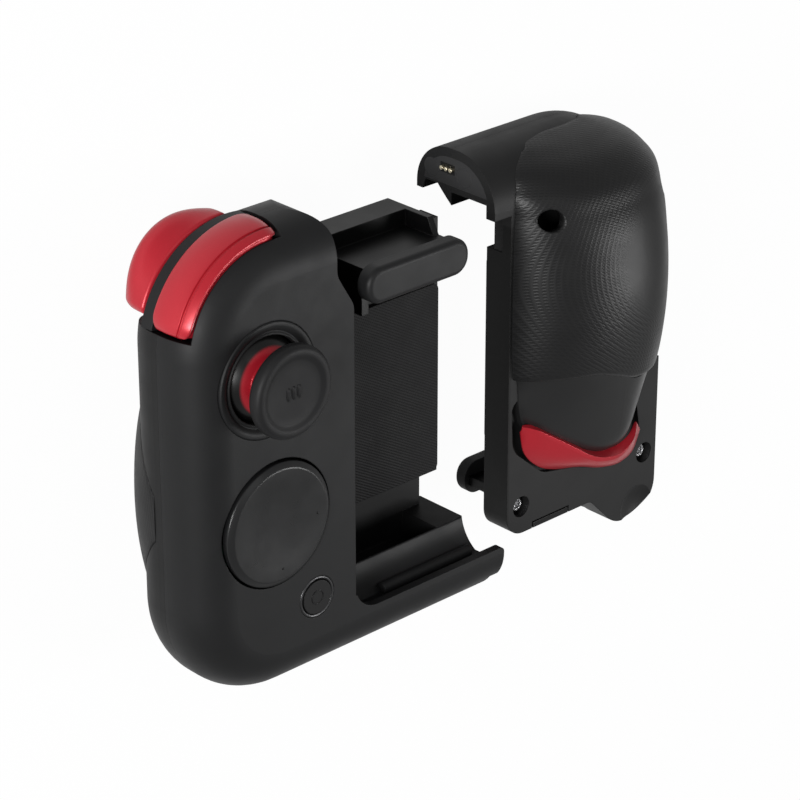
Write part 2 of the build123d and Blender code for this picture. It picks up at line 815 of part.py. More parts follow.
def left_stick_yoke():
    yoke = square_tube(stick_x, stick_y, pivot_level - yoke_half_height, pivot_level + yoke_half_height,
                       yoke_outer, yoke_inner)
    for side in (-1, 1):
        inner = stick_x + side * (yoke_outer - small_edge)
        outer = stick_x + side * yoke_pin_reach
        yoke += bar_x(min(inner, outer), max(inner, outer), stick_y, pivot_level, yoke_pin_radius)
    return yoke - bar_y(stick_x, stick_y - yoke_outer - small_edge, stick_y + yoke_outer + small_edge, pivot_level,
                        hub_pin_radius + running_gap)


def left_stick_shaft():
    centre = Pos(stick_x, stick_y, pivot_level)
    hood = centre * Sphere(stick_dome_radius) - centre * Sphere(stick_dome_radius - stick_dome_wall)
    reach = stick_dome_radius + overrun
    hood &= block(stick_x - reach, stick_x + reach, stick_y - reach, stick_y + reach,
                  pivot_level + stick_dome_skirt, pivot_level + reach)
    shaft = block(stick_x - hub_half, stick_x + hub_half, stick_y - hub_half, stick_y + hub_half,
                  pivot_level - hub_half, pivot_level + hub_half)
    shaft += post(stick_x, stick_y, pivot_level, pivot_level + stick_dome_radius + stick_spigot_height,
                  stick_spigot_radius)
    shaft += bar_y(stick_x, stick_y - hub_pin_reach, stick_y + hub_pin_reach, pivot_level, hub_pin_radius)
    return shaft + hood


def left_stick_cap():
    bottom = left_front_level + stick_cap_bottom
    top = left_front_level + stick_cap_top
    cap = post(stick_x, stick_y, bottom, top, stick_cap_radius)
    cap = fillet(cap.edges().filter_by(GeomType.CIRCLE), stick_cap_edge)
    cap -= post(stick_x, stick_y, top - stick_cap_dish, top + overrun, stick_cap_dish_radius)
    roof = pivot_level + stick_dome_radius + stick_spigot_height + stick_spigot_gap
    return cap - post(stick_x, stick_y, bottom - overrun, roof, stick_spigot_radius + running_gap)


def left_disc():
    top = left_front_level + disc_proud
    disc = post(disc_x, disc_y, top - disc_thickness, top, disc_radius)
    disc = fillet(disc.edges().filter_by(GeomType.CIRCLE), disc_edge)
    disc += post(disc_x, disc_y, disc_pivot_level - rocker_half_height, top - disc_thickness + small_edge,
                 disc_hub_radius)
    return disc + bar_y(disc_x, disc_y - disc_pin_reach, disc_y + disc_pin_reach, disc_pivot_level, disc_pin_radius)


def left_disc_gimbal():
    gimbal = square_tube(disc_x, disc_y, disc_pivot_level - rocker_half_height, disc_pivot_level + rocker_half_height,
                         rocker_outer, rocker_inner)
    for side in (-1, 1):
        inner = disc_x + side * (rocker_outer - small_edge)
        outer = disc_x + side * rocker_pin_reach
        gimbal += bar_x(min(inner, outer), max(inner, outer), disc_y, disc_pivot_level, rocker_pin_radius)
    return gimbal - bar_y(disc_x, disc_y - rocker_outer - small_edge, disc_y + rocker_outer + small_edge,
                          disc_pivot_level, disc_pin_radius + running_gap)


def left_disc_base():
    base = square_tube(disc_x, disc_y, board_top, disc_pivot_level + rocker_half_height,
                       disc_post_half, disc_post_half - disc_post_wall)
    return base - bar_x(disc_x - disc_post_half - overrun, disc_x + disc_post_half + overrun, disc_y,
                        disc_pivot_level, rocker_pin_radius + running_gap)


def left_mode_button():
    inner = left_front_level - shell_wall - fit_gap - button_travel
    button = post(mode_x, mode_y, inner, left_front_level + mode_proud, mode_radius)
    button += post(mode_x, mode_y, inner - mode_flange_thickness, inner, mode_radius + mode_flange)
    return button + post(mode_x, mode_y, board_top + switch_height + button_travel, inner, mode_stem_radius)


# Shoulder controls
hinge_direction = Pos(corner_x, corner_y, 0) * Rot(0, 0, -hinge_lean)


def across(n0, n1, u, z0, z1):
    """Block set at the shoulder hinge: n runs outwards from the corner centre, u is half its width."""
    return hinge_direction * block(-n1, -n0, -u, u, z0, z1)


def hinge_rod(depth, half, radius):
    return hinge_direction * bar_y(-hinge_reach, -half, half, deep(depth), radius)


def hinged(shell, depth, low, top):
    """Shell with its slot for the hinge ears and a hub on the hinge line."""
    level = deep(depth)
    slot = across(0, hinge_ear_high + hinge_slot_gap, hinge_ear_outer + hinge_slot_gap, low, top)
    shell = shell - slot
    hub = hinge_rod(depth, hinge_hub_half, hinge_hub_radius)
    hub += across(hinge_reach, hinge_ear_high + hinge_slot_gap + small_edge, hinge_hub_half,
                  level - hinge_hub_radius, level + hinge_hub_radius)
    return (shell + hub) - hinge_rod(depth, hinge_ear_outer + overrun, hinge_pin_radius + running_gap)


def end_corner(angle, side, top, radius):
    """Cutter for a round front corner at one end of a shoulder control; side is 1 at its higher angle."""
    far = slab_corner + overrun
    cutter = block(-far, 0, min(-side * radius, side * overrun), max(-side * radius, side * overrun), top - radius,
                   top + overrun)
    cutter -= bar_x(-far, 0, -side * radius, top - radius, radius)
    return Pos(corner_x, corner_y, 0) * Rot(0, 0, -angle) * cutter


def swept(face, start, sweep):
    """Section in the plane of -X and Z carried round the corner."""
    return Pos(corner_x, corner_y, 0) * Rot(0, 0, -start - sweep) * revolve(face, Axis.Z, sweep)


def bumper_face():
    """Section of the bumper: side wall, curved back, fine groove and the ridge beside the face."""
    low = deep(bumper_rear_depth)
    top = deep(bumper_front_depth)
    step = deep(bumper_lip_depth)
    radius = front_rim + bumper_proud
    centre_z = left_front_level - front_rim

    def at(reach, angle):
        return (front_rim - slab_corner - reach * cos(radians(angle)), 0, centre_z + reach * sin(radians(angle)))

    groove_low = groove_angle - groove_half_angle
    groove_high = groove_angle + groove_half_angle
    crest = radius + ridge_rise
    wall = Polyline((bumper_wall - slab_corner, 0, step), (bumper_wall - slab_corner, 0, low),
                    (-slab_corner - bumper_proud, 0, low), at(radius, 0))
    back = ThreePointArc(at(radius, 0), at(radius, groove_low / 2), at(radius, groove_low))
    groove = Polyline(at(radius, groove_low), at(radius - groove_cut, groove_angle), at(crest, groove_high))
    ridge = ThreePointArc(at(crest, groove_high), at(crest, (groove_high + ridge_end_angle) / 2),
                          at(crest, ridge_end_angle))
    lip = Polyline(at(crest, ridge_end_angle), (bumper_edge_width - slab_corner, 0, top),
                   (bumper_lip_width - slab_corner, 0, top), (bumper_lip_width - slab_corner, 0, step),
                   (bumper_wall - slab_corner, 0, step))
    return make_face([wall, back, groove, ridge, lip])


def left_bumper():
    band = swept(bumper_face(), shoulder_start, shoulder_end - shoulder_start)
    top = deep(bumper_front_depth)
    band -= end_corner(shoulder_start, -1, top, bumper_corner)
    band -= end_corner(shoulder_end, 1, top, bumper_corner)
    low = deep(bumper_rear_depth)
    level = deep(bumper_hinge_depth)
    return hinged(band, bumper_hinge_depth, low - overrun, level + hinge_ear_margin + hinge_slot_gap)


def trigger_mass(skin):
    """Trigger body drawn in by a skin: an even band round the corner and a bulge turned about an axis of its own."""
    low = deep(trigger_rear_depth) + skin
    top = deep(trigger_front_depth) - skin
    inner_top = trigger_front_width - slab_corner + skin * 2
    inner_low = trigger_rear_width - slab_corner + skin * 2
    upper = (trigger_inset - slab_corner + skin, 0, top)
    middle = (trigger_middle_inset - slab_corner + skin, 0, deep(trigger_middle_depth))
    lower = (trigger_tip_inset - slab_corner + skin, 0, low)
    outline = [ThreePointArc(upper, middle, lower), Polyline(lower, (inner_low, 0, low), (inner_top, 0, top), upper)]
    margin = trigger_gap_angle - end_gap_angle + degrees(skin / slab_corner)
    start = shoulder_start + margin
    sweep = shoulder_end - margin - start
    band = swept(make_face(outline), start, sweep)
    front = deep(trigger_bulge_front_depth) - skin
    first = (skin - trigger_bulge_front_radius, 0, front)
    crown = (skin - trigger_bulge_radius, 0, deep(trigger_bulge_depth))
    last = (skin - trigger_bulge_rear_radius, 0, low)
    profile = [Spline(first, crown, last), Polyline(last, (0, 0, low), (0, 0, front), first)]
    bulge = hinge_direction * Pos(-trigger_bulge_offset, 0, 0) * revolve(make_face(profile), Axis.Z)
    reach = slab_corner + overrun
    sector = make_face(Polyline((inner_low, 0, low), (inner_top, 0, front), (-reach, 0, front), (-reach, 0, low),
                                close=True))
    return band + (bulge & swept(sector, start, sweep))


def left_trigger():
    shell = trigger_mass(0) - trigger_mass(trigger_wall)
    level = deep(trigger_hinge_depth)
    return hinged(shell, trigger_hinge_depth, level - hinge_ear_margin - hinge_slot_gap,
                  deep(trigger_front_depth) + overrun)


def left_shoulder_frame():
    low = deep(strip_rear_depth)
    top = deep(strip_front_depth)
    outer = slab_corner - strip_inset
    start = shoulder_start - end_gap_angle
    frame = turned([(well_radius, low), (outer, low), (outer, top), (well_radius, top)],
                   corner_x, corner_y, start, shoulder_end + end_gap_angle - start)
    ears = across(hinge_ear_low, hinge_ear_high, hinge_ear_outer,
                  deep(trigger_hinge_depth) - hinge_ear_margin, deep(bumper_hinge_depth) + hinge_ear_margin)
    gap = across(0, slab_corner + overrun, hinge_ear_inner, -overrun, low)
    gap += across(0, slab_corner + overrun, hinge_ear_inner, top, left_front_level)
    frame += ears - gap
    for depth in (bumper_hinge_depth, trigger_hinge_depth):
        frame -= hinge_rod(depth, hinge_ear_outer + overrun, hinge_pin_radius)
    return frame


def left_shoulder_pins():
    return joined([hinge_rod(depth, hinge_ear_outer, hinge_pin_radius)
                   for depth in (bumper_hinge_depth, trigger_hinge_depth)])


# Inside the left unit
def left_main_board():
    plan = rounded([
        (board_left_x, board_low_y, board_corner),
        (board_right_x, board_low_y, board_small_corner),
        (board_right_x, board_top_y, board_small_corner),
        (board_left_x, board_top_y, board_corner),
    ])
    board = upright(plan, board_level, board_top) - left_well_wall()
    for x, y in screw_points:
        board -= post(x, y, board_level - small_edge, board_top + small_edge, board_hole_radius)
    return board


def left_battery():
    level = rear_level + shell_wall
    plan = Pos(battery_x, battery_y) * RectangleRounded(battery_length, battery_width, battery_corner)
    return upright(plan, level, level + battery_height)


def left_switches():
    switch = block(mode_x - switch_size / 2, mode_x + switch_size / 2, mode_y - switch_size / 2,
                   mode_y + switch_size / 2, board_top, board_top + switch_height)
    return switch


def screws(points, head_low, tip):
    solids = []
    for x, y in points:
        head = post(x, y, head_low, head_low + screw_head_height, screw_head_radius)
        solids.append(head + post(x, y, head_low, tip, screw_radius))
    return joined(solids)


def left_screws():
    return screws(screw_points, rear_level + screw_sink, deep(screw_tip_depth))


# Right unit, drawn as it would stand beside the phone and then laid on its face
right_button_points = [(right_dish_x + right_button_ring * side_x, right_dish_y + right_button_ring * side_y)
                       for side_x, side_y in ((1, 0), (0, 1), (-1, 0), (0, -1))]
right_far_x = right_arm_x - slab_corner - overrun
right_outer_pillow = pillow(right_far_x, right_edge_x, left_bottom_y, right_lobe_y, rear_level, left_front_level,
                            right_corner, rear_rim, front_rim)
right_inner_pillow = pillow(right_far_x + shell_wall, right_edge_x - shell_wall, left_bottom_y + shell_wall,
                            right_top_y - shell_wall, rear_level + shell_wall, left_front_level - shell_wall,
                            right_corner - shell_wall, rear_rim - shell_wall, front_rim - shell_wall)


def laid(solid):
    """Turns a piece of the right unit onto its face, upside down beside the left unit."""
    return Pos(0, right_flip_y, left_front_level) * Rot(quarter * 2, 0, 0) * solid


def right_plan():
    return rounded([
        (right_plate_x, left_bottom_y - overrun, 0),
        (right_edge_x + overrun, left_bottom_y - overrun, 0),
        (right_edge_x + overrun, right_slab_y, 0),
        (right_edge_x, right_slab_y, 0),
        (right_edge_x, right_lobe_y, right_lobe_round),
        (right_lobe_x, right_lobe_y, right_lobe_round),
        (right_notch_x, right_top_y, right_notch_round),
        (right_plate_x, right_top_y, right_plate_round),
    ])


def right_outline():
    outer = right_outer_pillow & upright(right_plan(), 0, left_front_level)
    rear = block(right_plate_x, right_edge_x, right_slab_y, right_lobe_y, rear_level, rear_level + right_plate_depth)
    outer += rear & upright(right_plan(), 0, left_front_level)
    arm = block(right_arm_x, right_body_x, left_bottom_y - overrun, high(right_ridge_height), 0, left_front_level)
    return outer + (right_outer_pillow & arm)


right_outer = right_outline()
right_board_level = deep(right_board_depth)
right_board_front = right_board_level + board_thickness
right_clear = block(right_far_x, right_body_x, high(right_ridge_height), right_lobe_y + overrun,
                    rear_level + right_plate_depth, left_front_level + overrun)
right_body = right_outer - right_clear - jaw_cutter(right_far_x, right_body_x, right_ridge_height)
right_cavity = right_inner_pillow & block(right_body_x + shell_wall, right_edge_x, left_bottom_y, right_top_y,
                                          0, left_front_level)
right_cavity -= laid(upright(offset(rounded(lever_foot), amount=shell_wall), lever_well_level - shell_wall,
                             left_front_level))
for screw_x, screw_y in right_screw_points:
    right_cavity -= laid(post(screw_x, screw_y, right_screw_tip - shell_wall, left_front_level, boss_radius + shell_wall))
right_half_space = block(right_far_x, right_edge_x + overrun, left_bottom_y - overrun, right_lobe_y + overrun,
                         seam_level, left_front_level + overrun)


def right_arm_recesses():
    cap = arm_cap_zone(right_arm_x, 1, right_inner_pillow, right_cap_high)
    tools = cap + contact_housing(right_arm_x, 1, arm_cap_thickness)
    for magnet in arm_magnets(right_arm_x, 1, high(magnet_height), magnet_front_depth, magnet_rear_depth):
        tools += magnet
    return tools


def right_front_shell():
    shell = right_body & right_half_space
    shell -= right_cavity
    shell -= right_arm_recesses()
    shell -= post(right_dish_x, right_dish_y, deep(right_dish_depth + right_dish_floor), left_front_level + overrun,
                  right_dish_radius)
    shell -= post(right_dish_x, right_dish_y, seam_level, left_front_level, right_dish_radius - right_dish_edge)
    for x, y in right_boss_points:
        shell += post(x, y, right_board_front, deep(boss_top_depth), boss_radius)
    return laid(shell)


def right_rear_cover():
    cover = right_body - right_half_space
    cover -= right_cavity
    cover -= right_arm_recesses()
    cover -= block(right_plate_x - overrun, right_body_x, high(slot_floor_height), right_slot_y,
                   deep(slot_rear_depth), seam_level + overrun)
    for x in right_rod_x:
        cover -= bar_y(x, right_top_y - right_rod_length - fit_gap, right_top_y + overrun, deep(rod_depth),
                       rod_radius + running_gap)
    cover -= block(right_jaw_x0 - fit_gap, right_jaw_x1 + fit_gap, right_top_y - right_jaw_tongue - fit_gap,
                   right_top_y + overrun, 0, left_front_level)
    for x, y in right_boss_points:
        cover += post(x, y, rear_level + shell_wall / 2, right_board_level, boss_radius) & right_outer
    cover = laid(cover)
    seat = upright(nose_plan(), 0, left_front_level + overrun)
    seat -= block(nose_cavity_x0, nose_cavity_x1, nose_cavity_y0, nose_cavity_y1, 0, left_front_level + overrun)
    cover -= upright(offset(rounded(lever_foot), amount=lever_gap), lever_well_level, left_front_level) - seat
    scoop_ball = (scoop_radius ** 2 + scoop_depth ** 2) / (scoop_depth * 2)
    cover -= Pos(scoop_x, scoop_y, right_rear_level + scoop_ball - scoop_depth) * Sphere(scoop_ball)
    for x, y in right_screw_points:
        cover -= post(x, y, right_screw_seat, left_front_level, right_screw_hole_radius)
        cover -= post(x, y, right_screw_tip, right_screw_seat + small_edge, screw_radius)
    return cover


# Right unit, seen from behind as it lies
def right_dome(inset):
    stations = [(y, x0 + inset, xc, x1 - inset, crown - inset) for y, x0, xc, x1, crown in right_dome_stations]
    return dome(stations, right_dome_base, 1)


def crease_region():
    """Everything on the grip's side of the crease between grip and nose."""
    first = crease_points[0]
    last = crease_points[-1]
    far = right_dome_stations[0][0] + overrun
    return upright(rounded(crease_points + [(last[0], far, 0), (first[0], far, 0)]), 0, left_front_level + overrun)


def right_grip_cover():
    cover = right_dome(0) - (right_dome(grip_wall) & block(right_plate_x, right_edge_x, right_dome_wall_y,
                                                          right_dome_top_y, 0, left_front_level + overrun))
    cover &= crease_region()
    cover -= laid(right_outer)
    for x, y in right_screw_points:
        cover -= post(x, y, right_dome_base, left_front_level + overrun, right_screw_hole_radius)
    return cover.solids().sort_by(SortBy.VOLUME)[-1]


def nose_form(extra):
    """Body below the grip, grown on every side by an extra."""
    stations = [(y, x0 - extra, xc, x1 + extra, crown + extra) for y, x0, xc, x1, crown in nose_stations]
    if extra > 0:
        y, x0, xc, x1, crown = stations[-1]
        stations[-1] = (y - extra, x0, xc, x1, crown - extra)
    return dome(stations, right_dome_base, 1)


def nose_plan():
    """Outline of the nose where it stands on the plate."""
    rise = right_rear_level - right_dome_base
    left = []
    right = []
    for y, x0, xc, x1, crown in nose_stations:
        share = sqrt(1 - (rise / (crown - right_dome_base)) ** 2)
        left.append((xc - (xc - x0) * share, y))
        right.append((xc + (x1 - xc) * share, y))
    return make_face(Polyline(*(left + right[::-1]), close=True))


def right_trigger_hood():
    hood = nose_form(0) - crease_region()
    hood &= block(right_plate_x, right_edge_x, nose_cavity_y0, right_dome_top_y, right_rear_level, left_front_level)
    hood -= block(nose_cavity_x0, nose_cavity_x1, nose_cavity_y0 - overrun, nose_cavity_y1, right_rear_level - overrun,
                  nose_cavity_level)
    return hood - bar_x(lever_pin_x0, lever_pin_x1, lever_pin_y, lever_pin_level, hinge_pin_radius)


def about_lever_pin(angle):
    return Pos(0, lever_pin_y, lever_pin_level) * Rot(angle, 0, 0) * Pos(0, -lever_pin_y, -lever_pin_level)


def right_trigger():
    lever = loft([Pos(0, 0, lever_low_level) * rounded(lever_foot), Pos(0, 0, lever_top_level) * rounded(lever_ridge)])
    lever &= dome(lever_cap_stations, right_dome_base, 1)
    nose = nose_form(lever_gap)
    lever -= nose
    lever -= about_lever_pin(-lever_travel) * nose
    lever -= upright(offset(rounded(lever_ridge), amount=-lever_rim), right_dome_base, left_front_level)
    lever &= block(right_plate_x, right_edge_x, lever_cap_stations[-1][0], lever_start_y, right_dome_base, left_front_level)
    lever = lever.solids().sort_by(SortBy.VOLUME)[-1]
    lever += block(lever_arm_x0, lever_arm_x1, lever_arm_y0, lever_pin_y, lever_pin_level - lever_arm_half,
                   lever_pin_level + lever_arm_half)
    lever += bar_x(lever_arm_x0, lever_arm_x1, lever_pin_y, lever_pin_level, hinge_hub_radius)
    return lever - bar_x(lever_pin_x0, lever_pin_x1, lever_pin_y, lever_pin_level, hinge_pin_radius + running_gap)


def right_trigger_pin():
    return bar_x(lever_pin_x0, lever_pin_x1, lever_pin_y, lever_pin_level, hinge_pin_radius)


def right_sliding_jaw():
    y = jaw_tray_y + right_jaw_shift
    plate_front = rear_level + right_plate_depth + fit_gap
    body = block(right_jaw_x0, right_jaw_x1, y, y + jaw_tray_thickness, plate_front, deep(jaw_lip_depth))
    body += block(right_jaw_x0, right_jaw_x1, right_jaw_carriage_y, right_top_y, plate_front,
                  plate_front + right_jaw_carriage_thickness)
    body += block(right_jaw_x0, right_jaw_x1, right_top_y - right_jaw_tongue, right_top_y, rear_level,
                  plate_front + right_jaw_carriage_thickness)
    return laid(body - right_rods(0))


def right_rods(extra):
    return joined([bar_y(x, right_top_y - right_rod_length, right_top_y - fit_gap, deep(rod_depth), rod_radius + extra)
                   for x in right_rod_x])


def right_arm_cap():
    cap = arm_cap_zone(right_arm_x, 1, right_inner_pillow, right_cap_high)
    for magnet in arm_magnets(right_arm_x, 1, high(magnet_height), magnet_front_depth, magnet_rear_depth):
        cap -= magnet
    return laid(cap - contact_housing(right_arm_x, 1, arm_cap_thickness))


def right_contact_block():
    housing = contact_housing(right_arm_x, 1, arm_cap_thickness)
    return laid(housing - contact_rods(right_arm_x - overrun, right_arm_x + contact_pin_length, contact_bore))


def right_contact_pins():
    return laid(contact_rods(right_arm_x - contact_reach, right_arm_x + contact_pin_length - contact_reach - fit_gap,
                             contact_pin_radius))


def left_arm_cap():
    cap = arm_cap_zone(left_arm_end_x, -1, left_inner, left_cap_high)
    for magnet in arm_magnets(left_arm_end_x, -1, high(magnet_height), magnet_front_depth, magnet_rear_depth):
        cap -= magnet
    return cap - contact_housing(left_arm_end_x, -1, arm_cap_thickness)


def left_contact_block():
    housing = contact_housing(left_arm_end_x, -1, arm_cap_thickness)
    return housing - contact_rods(left_arm_end_x - contact_pin_length, left_arm_end_x + overrun, contact_pin_radius)


def left_contact_pads():
    return contact_rods(left_arm_end_x - contact_pin_length, left_arm_end_x, contact_pin_radius)


def left_charge_port():
    port = port_body(port_inset, 0) - port_body(port_inset - port_wall, port_wall)
    z = board_top + port_height / 2
    return port + block(port_x - port_tongue_width / 2, port_x + port_tongue_width / 2,
                        left_bottom_y + port_inset + port_corner, left_bottom_y + port_inset + port_length,
                        z - port_tongue_height / 2, z + port_tongue_height / 2)


def right_rest_pad():
    level = rear_level + right_plate_depth
    plan = Pos((right_pad_x0 + right_pad_x1) / 2, (plate_bottom_y + rest_pad_top_y) / 2)
    plan *= RectangleRounded(right_pad_x1 - right_pad_x0, rest_pad_top_y - plate_bottom_y - rest_pad_margin * 2,
                             rest_pad_corner)
    return laid(upright(plan, level, level + rest_pad_thickness))


def right_main_board():
    plan = rounded([
        (right_board_x0, right_board_low_y, right_board_corner),
        (right_board_x1, right_board_low_y, right_board_round),
        (right_board_x1, right_board_high_y, right_board_round),
        (right_board_x0, right_board_high_y, right_board_corner),
    ])
    return laid(upright(plan, right_board_level, right_board_front))


def right_battery():
    level = rear_level + shell_wall
    plan = Pos(right_battery_x, right_battery_y) * RectangleRounded(right_battery_length, right_battery_width,
                                                                   rest_pad_corner)
    return laid(upright(plan, level, level + battery_height))


def right_switches():
    half = switch_size / 2
    return laid(joined([block(x - half, x + half, y - half, y + half, right_board_front,
                              right_board_front + switch_height) for x, y in right_button_points]))


def right_button_dish():
    bottom = deep(right_dish_depth + right_dish_floor)
    dish = post(right_dish_x, right_dish_y, bottom, left_front_level - running_gap, right_dish_radius)
    bowl = Pos(right_dish_x, right_dish_y, deep(right_dish_depth)) * Cone(
        right_dish_radius - right_dish_edge, right_dish_radius - small_edge / 2, right_dish_depth,
        align=(Align.CENTER, Align.CENTER, Align.MIN))
    dish -= bowl
    for x, y in right_button_points:
        dish -= post(x, y, seam_level, left_front_level, right_button_radius + running_gap)
    return laid(dish)


def right_face_button(index):
    x, y = right_button_points[index]
    base = right_board_front + switch_height + button_travel
    shoulder = deep(right_dish_depth + right_dish_floor) - button_travel - fit_gap
    button = post(x, y, base, deep(right_button_top), right_button_radius)
    return laid(button + post(x, y, shoulder - right_button_flange_thickness, shoulder,
                              right_button_radius + right_button_flange))


def right_screws():
    solids = []
    for x, y in right_screw_points:
        head = post(x, y, right_screw_seat, right_screw_seat + screw_head_height, screw_head_radius)
        solids.append(head + post(x, y, right_screw_tip, right_screw_seat, screw_radius))
    return joined(solids)


parts = {
    "left_front_shell": left_front_shell,
    "left_rear_shell": left_rear_shell,
    "left_grip_cover": left_grip_cover,
    "left_rest_pad": left_rest_pad,
    "left_jaw_rib": lambda: jaw_rib(rib_x0, rib_x1, ridge_height),
    "left_jaw_lip": lambda: jaw_lip(jaw_lip_x0, jaw_lip_x1, 0),
    "left_sliding_jaw": left_sliding_jaw,
    "left_guide_rods": lambda: rods(jaw_x0, jaw_x1, 0, 0),
    "left_stick_socket": left_stick_socket,
    "left_stick_base": left_stick_base,
    "left_stick_yoke": left_stick_yoke,
    "left_stick_shaft": left_stick_shaft,
    "left_stick_cap": left_stick_cap,
    "left_disc": left_disc,
    "left_disc_gimbal": left_disc_gimbal,
    "left_disc_base": left_disc_base,
    "left_mode_button": left_mode_button,
    "left_bumper": left_bumper,
    "left_trigger": left_trigger,
    "left_shoulder_frame": left_shoulder_frame,
    "left_shoulder_pins": left_shoulder_pins,
    "left_main_board": left_main_board,
    "left_battery": left_battery,
    "left_switches": left_switches,
    "left_screws": left_screws,
    "right_front_shell": right_front_shell,
    "right_rear_cover": right_rear_cover,
    "right_grip_cover": right_grip_cover,
    "right_trigger_hood": right_trigger_hood,
    "right_trigger": right_trigger,
    "right_trigger_pin": right_trigger_pin,
    "right_sliding_jaw": right_sliding_jaw,
    "right_jaw_lip": lambda: laid(jaw_lip(right_jaw_lip_x0, right_jaw_lip_x1, right_jaw_shift)),
    "right_guide_rods": lambda: laid(right_rods(0)),
    "right_jaw_rib": lambda: laid(jaw_rib(right_rib_x0, right_rib_x1, right_ridge_height)),
    "right_arm_cap": right_arm_cap,
    "right_arm_magnets": lambda: laid(joined(arm_magnets(right_arm_x, 1, high(magnet_height), magnet_front_depth,
                                                         magnet_rear_depth))),
    "right_contact_block": right_contact_block,
    "right_contact_pins": right_contact_pins,
    "left_arm_cap": left_arm_cap,
    "left_arm_magnets": lambda: joined(arm_magnets(left_arm_end_x, -1, high(magnet_height), magnet_front_depth,
                                                   magnet_rear_depth)),
    "left_contact_block": left_contact_block,
    "left_contact_pads": left_contact_pads,
    "left_charge_port": left_charge_port,
    "right_rest_pad": right_rest_pad,
    "right_main_board": right_main_board,
    "right_battery": right_battery,
    "right_switches": right_switches,
    "right_button_dish": right_button_dish,
    "right_face_button_1": lambda: right_face_button(0),
    "right_face_button_2": lambda: right_face_button(1),
    "right_face_button_3": lambda: right_face_button(2),
    "right_face_button_4": lambda: right_face_button(3),
    "right_screws": right_screws,
}

solids = {name: build() for name, build in parts.items()}
boxes = [solid.bounding_box() for solid in solids.values()]
low_x = min(box.min.X for box in boxes)
high_x = max(box.max.X for box in boxes)
low_y = min(box.min.Y for box in boxes)
high_y = max(box.max.Y for box in boxes)
low_z = min(box.min.Z for box in boxes)
to_centre = Pos(-(low_x + high_x) / 2, -(low_y + high_y) / 2, -low_z)

for name, solid in solids.items():
    export_step(to_centre * solid, f"parts/{name}.step")
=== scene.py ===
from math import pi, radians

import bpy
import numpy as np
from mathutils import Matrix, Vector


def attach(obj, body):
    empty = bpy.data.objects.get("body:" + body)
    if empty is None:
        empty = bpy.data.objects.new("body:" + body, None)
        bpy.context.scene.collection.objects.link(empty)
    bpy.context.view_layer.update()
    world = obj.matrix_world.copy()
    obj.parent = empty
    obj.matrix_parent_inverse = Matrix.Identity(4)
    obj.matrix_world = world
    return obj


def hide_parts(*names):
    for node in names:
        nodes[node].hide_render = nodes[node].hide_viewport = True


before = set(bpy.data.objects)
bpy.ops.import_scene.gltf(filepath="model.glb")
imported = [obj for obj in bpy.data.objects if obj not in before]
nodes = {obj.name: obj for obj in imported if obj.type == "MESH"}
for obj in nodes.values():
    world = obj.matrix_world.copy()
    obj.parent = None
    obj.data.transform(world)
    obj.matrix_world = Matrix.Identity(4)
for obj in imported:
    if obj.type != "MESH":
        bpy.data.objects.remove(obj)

# %% [markdown]
# # A clip-on game controller in two halves
#
# The left half lies face up and the right half lies on its face, upside down beside it.
# Each cell below makes one piece or one finish. Lengths in the drawing are millimetres, and
# `place` turns them into metres in the frame that the mechanical parts use: +X runs from the left
# half to the right one, +Y is the left half's own up, +Z is up from the table.

MM = 0.001
SHIFT = np.array([18.395359, -7.093400, -0.148602])  # where the drawing's own zero lies before centring
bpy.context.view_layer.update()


def place(points):
    """Points of the drawing, in millimetres, as points of the shared frame, in metres."""
    return (np.asarray(points, dtype=float) - SHIFT) * MM


# %% [markdown]
# ## Finishes
#
# Moulded plastic is never one flat colour: the mould is spark-eroded, so the skin has a fine grain,
# and handling polishes some patches more than others. Each finish mixes four noises: fine grain for
# the bump, smudges for the roughness, a broad mottle for the colour and a few pale flecks. A bevel
# node softens the light on every sharp edge, as a real moulding's small edge radius does.

# %% Node helpers
def link_value(tree, socket, value):
    """Feeds a socket from another node's output, or sets it to a plain value."""
    if hasattr(value, "is_output"):
        tree.links.new(value, socket)
    else:
        socket.default_value = value


def noise(tree, vector, scale, detail=3.0, rough=0.55):
    """Fractal noise between 0 and 1, with scale cells in each metre."""
    node = tree.nodes.new("ShaderNodeTexNoise")
    node.inputs["Scale"].default_value = scale
    node.inputs["Detail"].default_value = detail
    node.inputs["Roughness"].default_value = rough
    tree.links.new(vector, node.inputs["Vector"])
    return node.outputs["Fac"]


def remap(tree, value, low, high, to_low, to_high):
    """Carries the range low to high onto to_low to to_high, eased at both ends as 3s2 - 2s3."""
    node = tree.nodes.new("ShaderNodeMapRange")
    node.interpolation_type = "SMOOTHSTEP"
    node.inputs["From Min"].default_value = low
    node.inputs["From Max"].default_value = high
    node.inputs["To Min"].default_value = to_low
    node.inputs["To Max"].default_value = to_high
    tree.links.new(value, node.inputs["Value"])
    return node.outputs["Result"]


def mix_colour(tree, factor, a, b):
    """Colour a(1 - factor) + b factor."""
    node = tree.nodes.new("ShaderNodeMix")
    node.data_type = "RGBA"
    link_value(tree, node.inputs[0], factor)
    link_value(tree, node.inputs[6], a)
    link_value(tree, node.inputs[7], b)
    return node.outputs[2]


def sums(tree, operation, a, b=0.0):
    """One Math node: the named operation on a and b."""
    node = tree.nodes.new("ShaderNodeMath")
    node.operation = operation
    link_value(tree, node.inputs[0], a)
    link_value(tree, node.inputs[1], b)
    return node.outputs[0]


def distance_from(tree, where, centre):
    """Distance in metres from a centre given in the drawing's millimetres."""
    node = tree.nodes.new("ShaderNodeVectorMath")
    node.operation = "DISTANCE"
    tree.links.new(where, node.inputs[0])
    node.inputs[1].default_value = tuple(place(centre))
    return node.outputs["Value"]


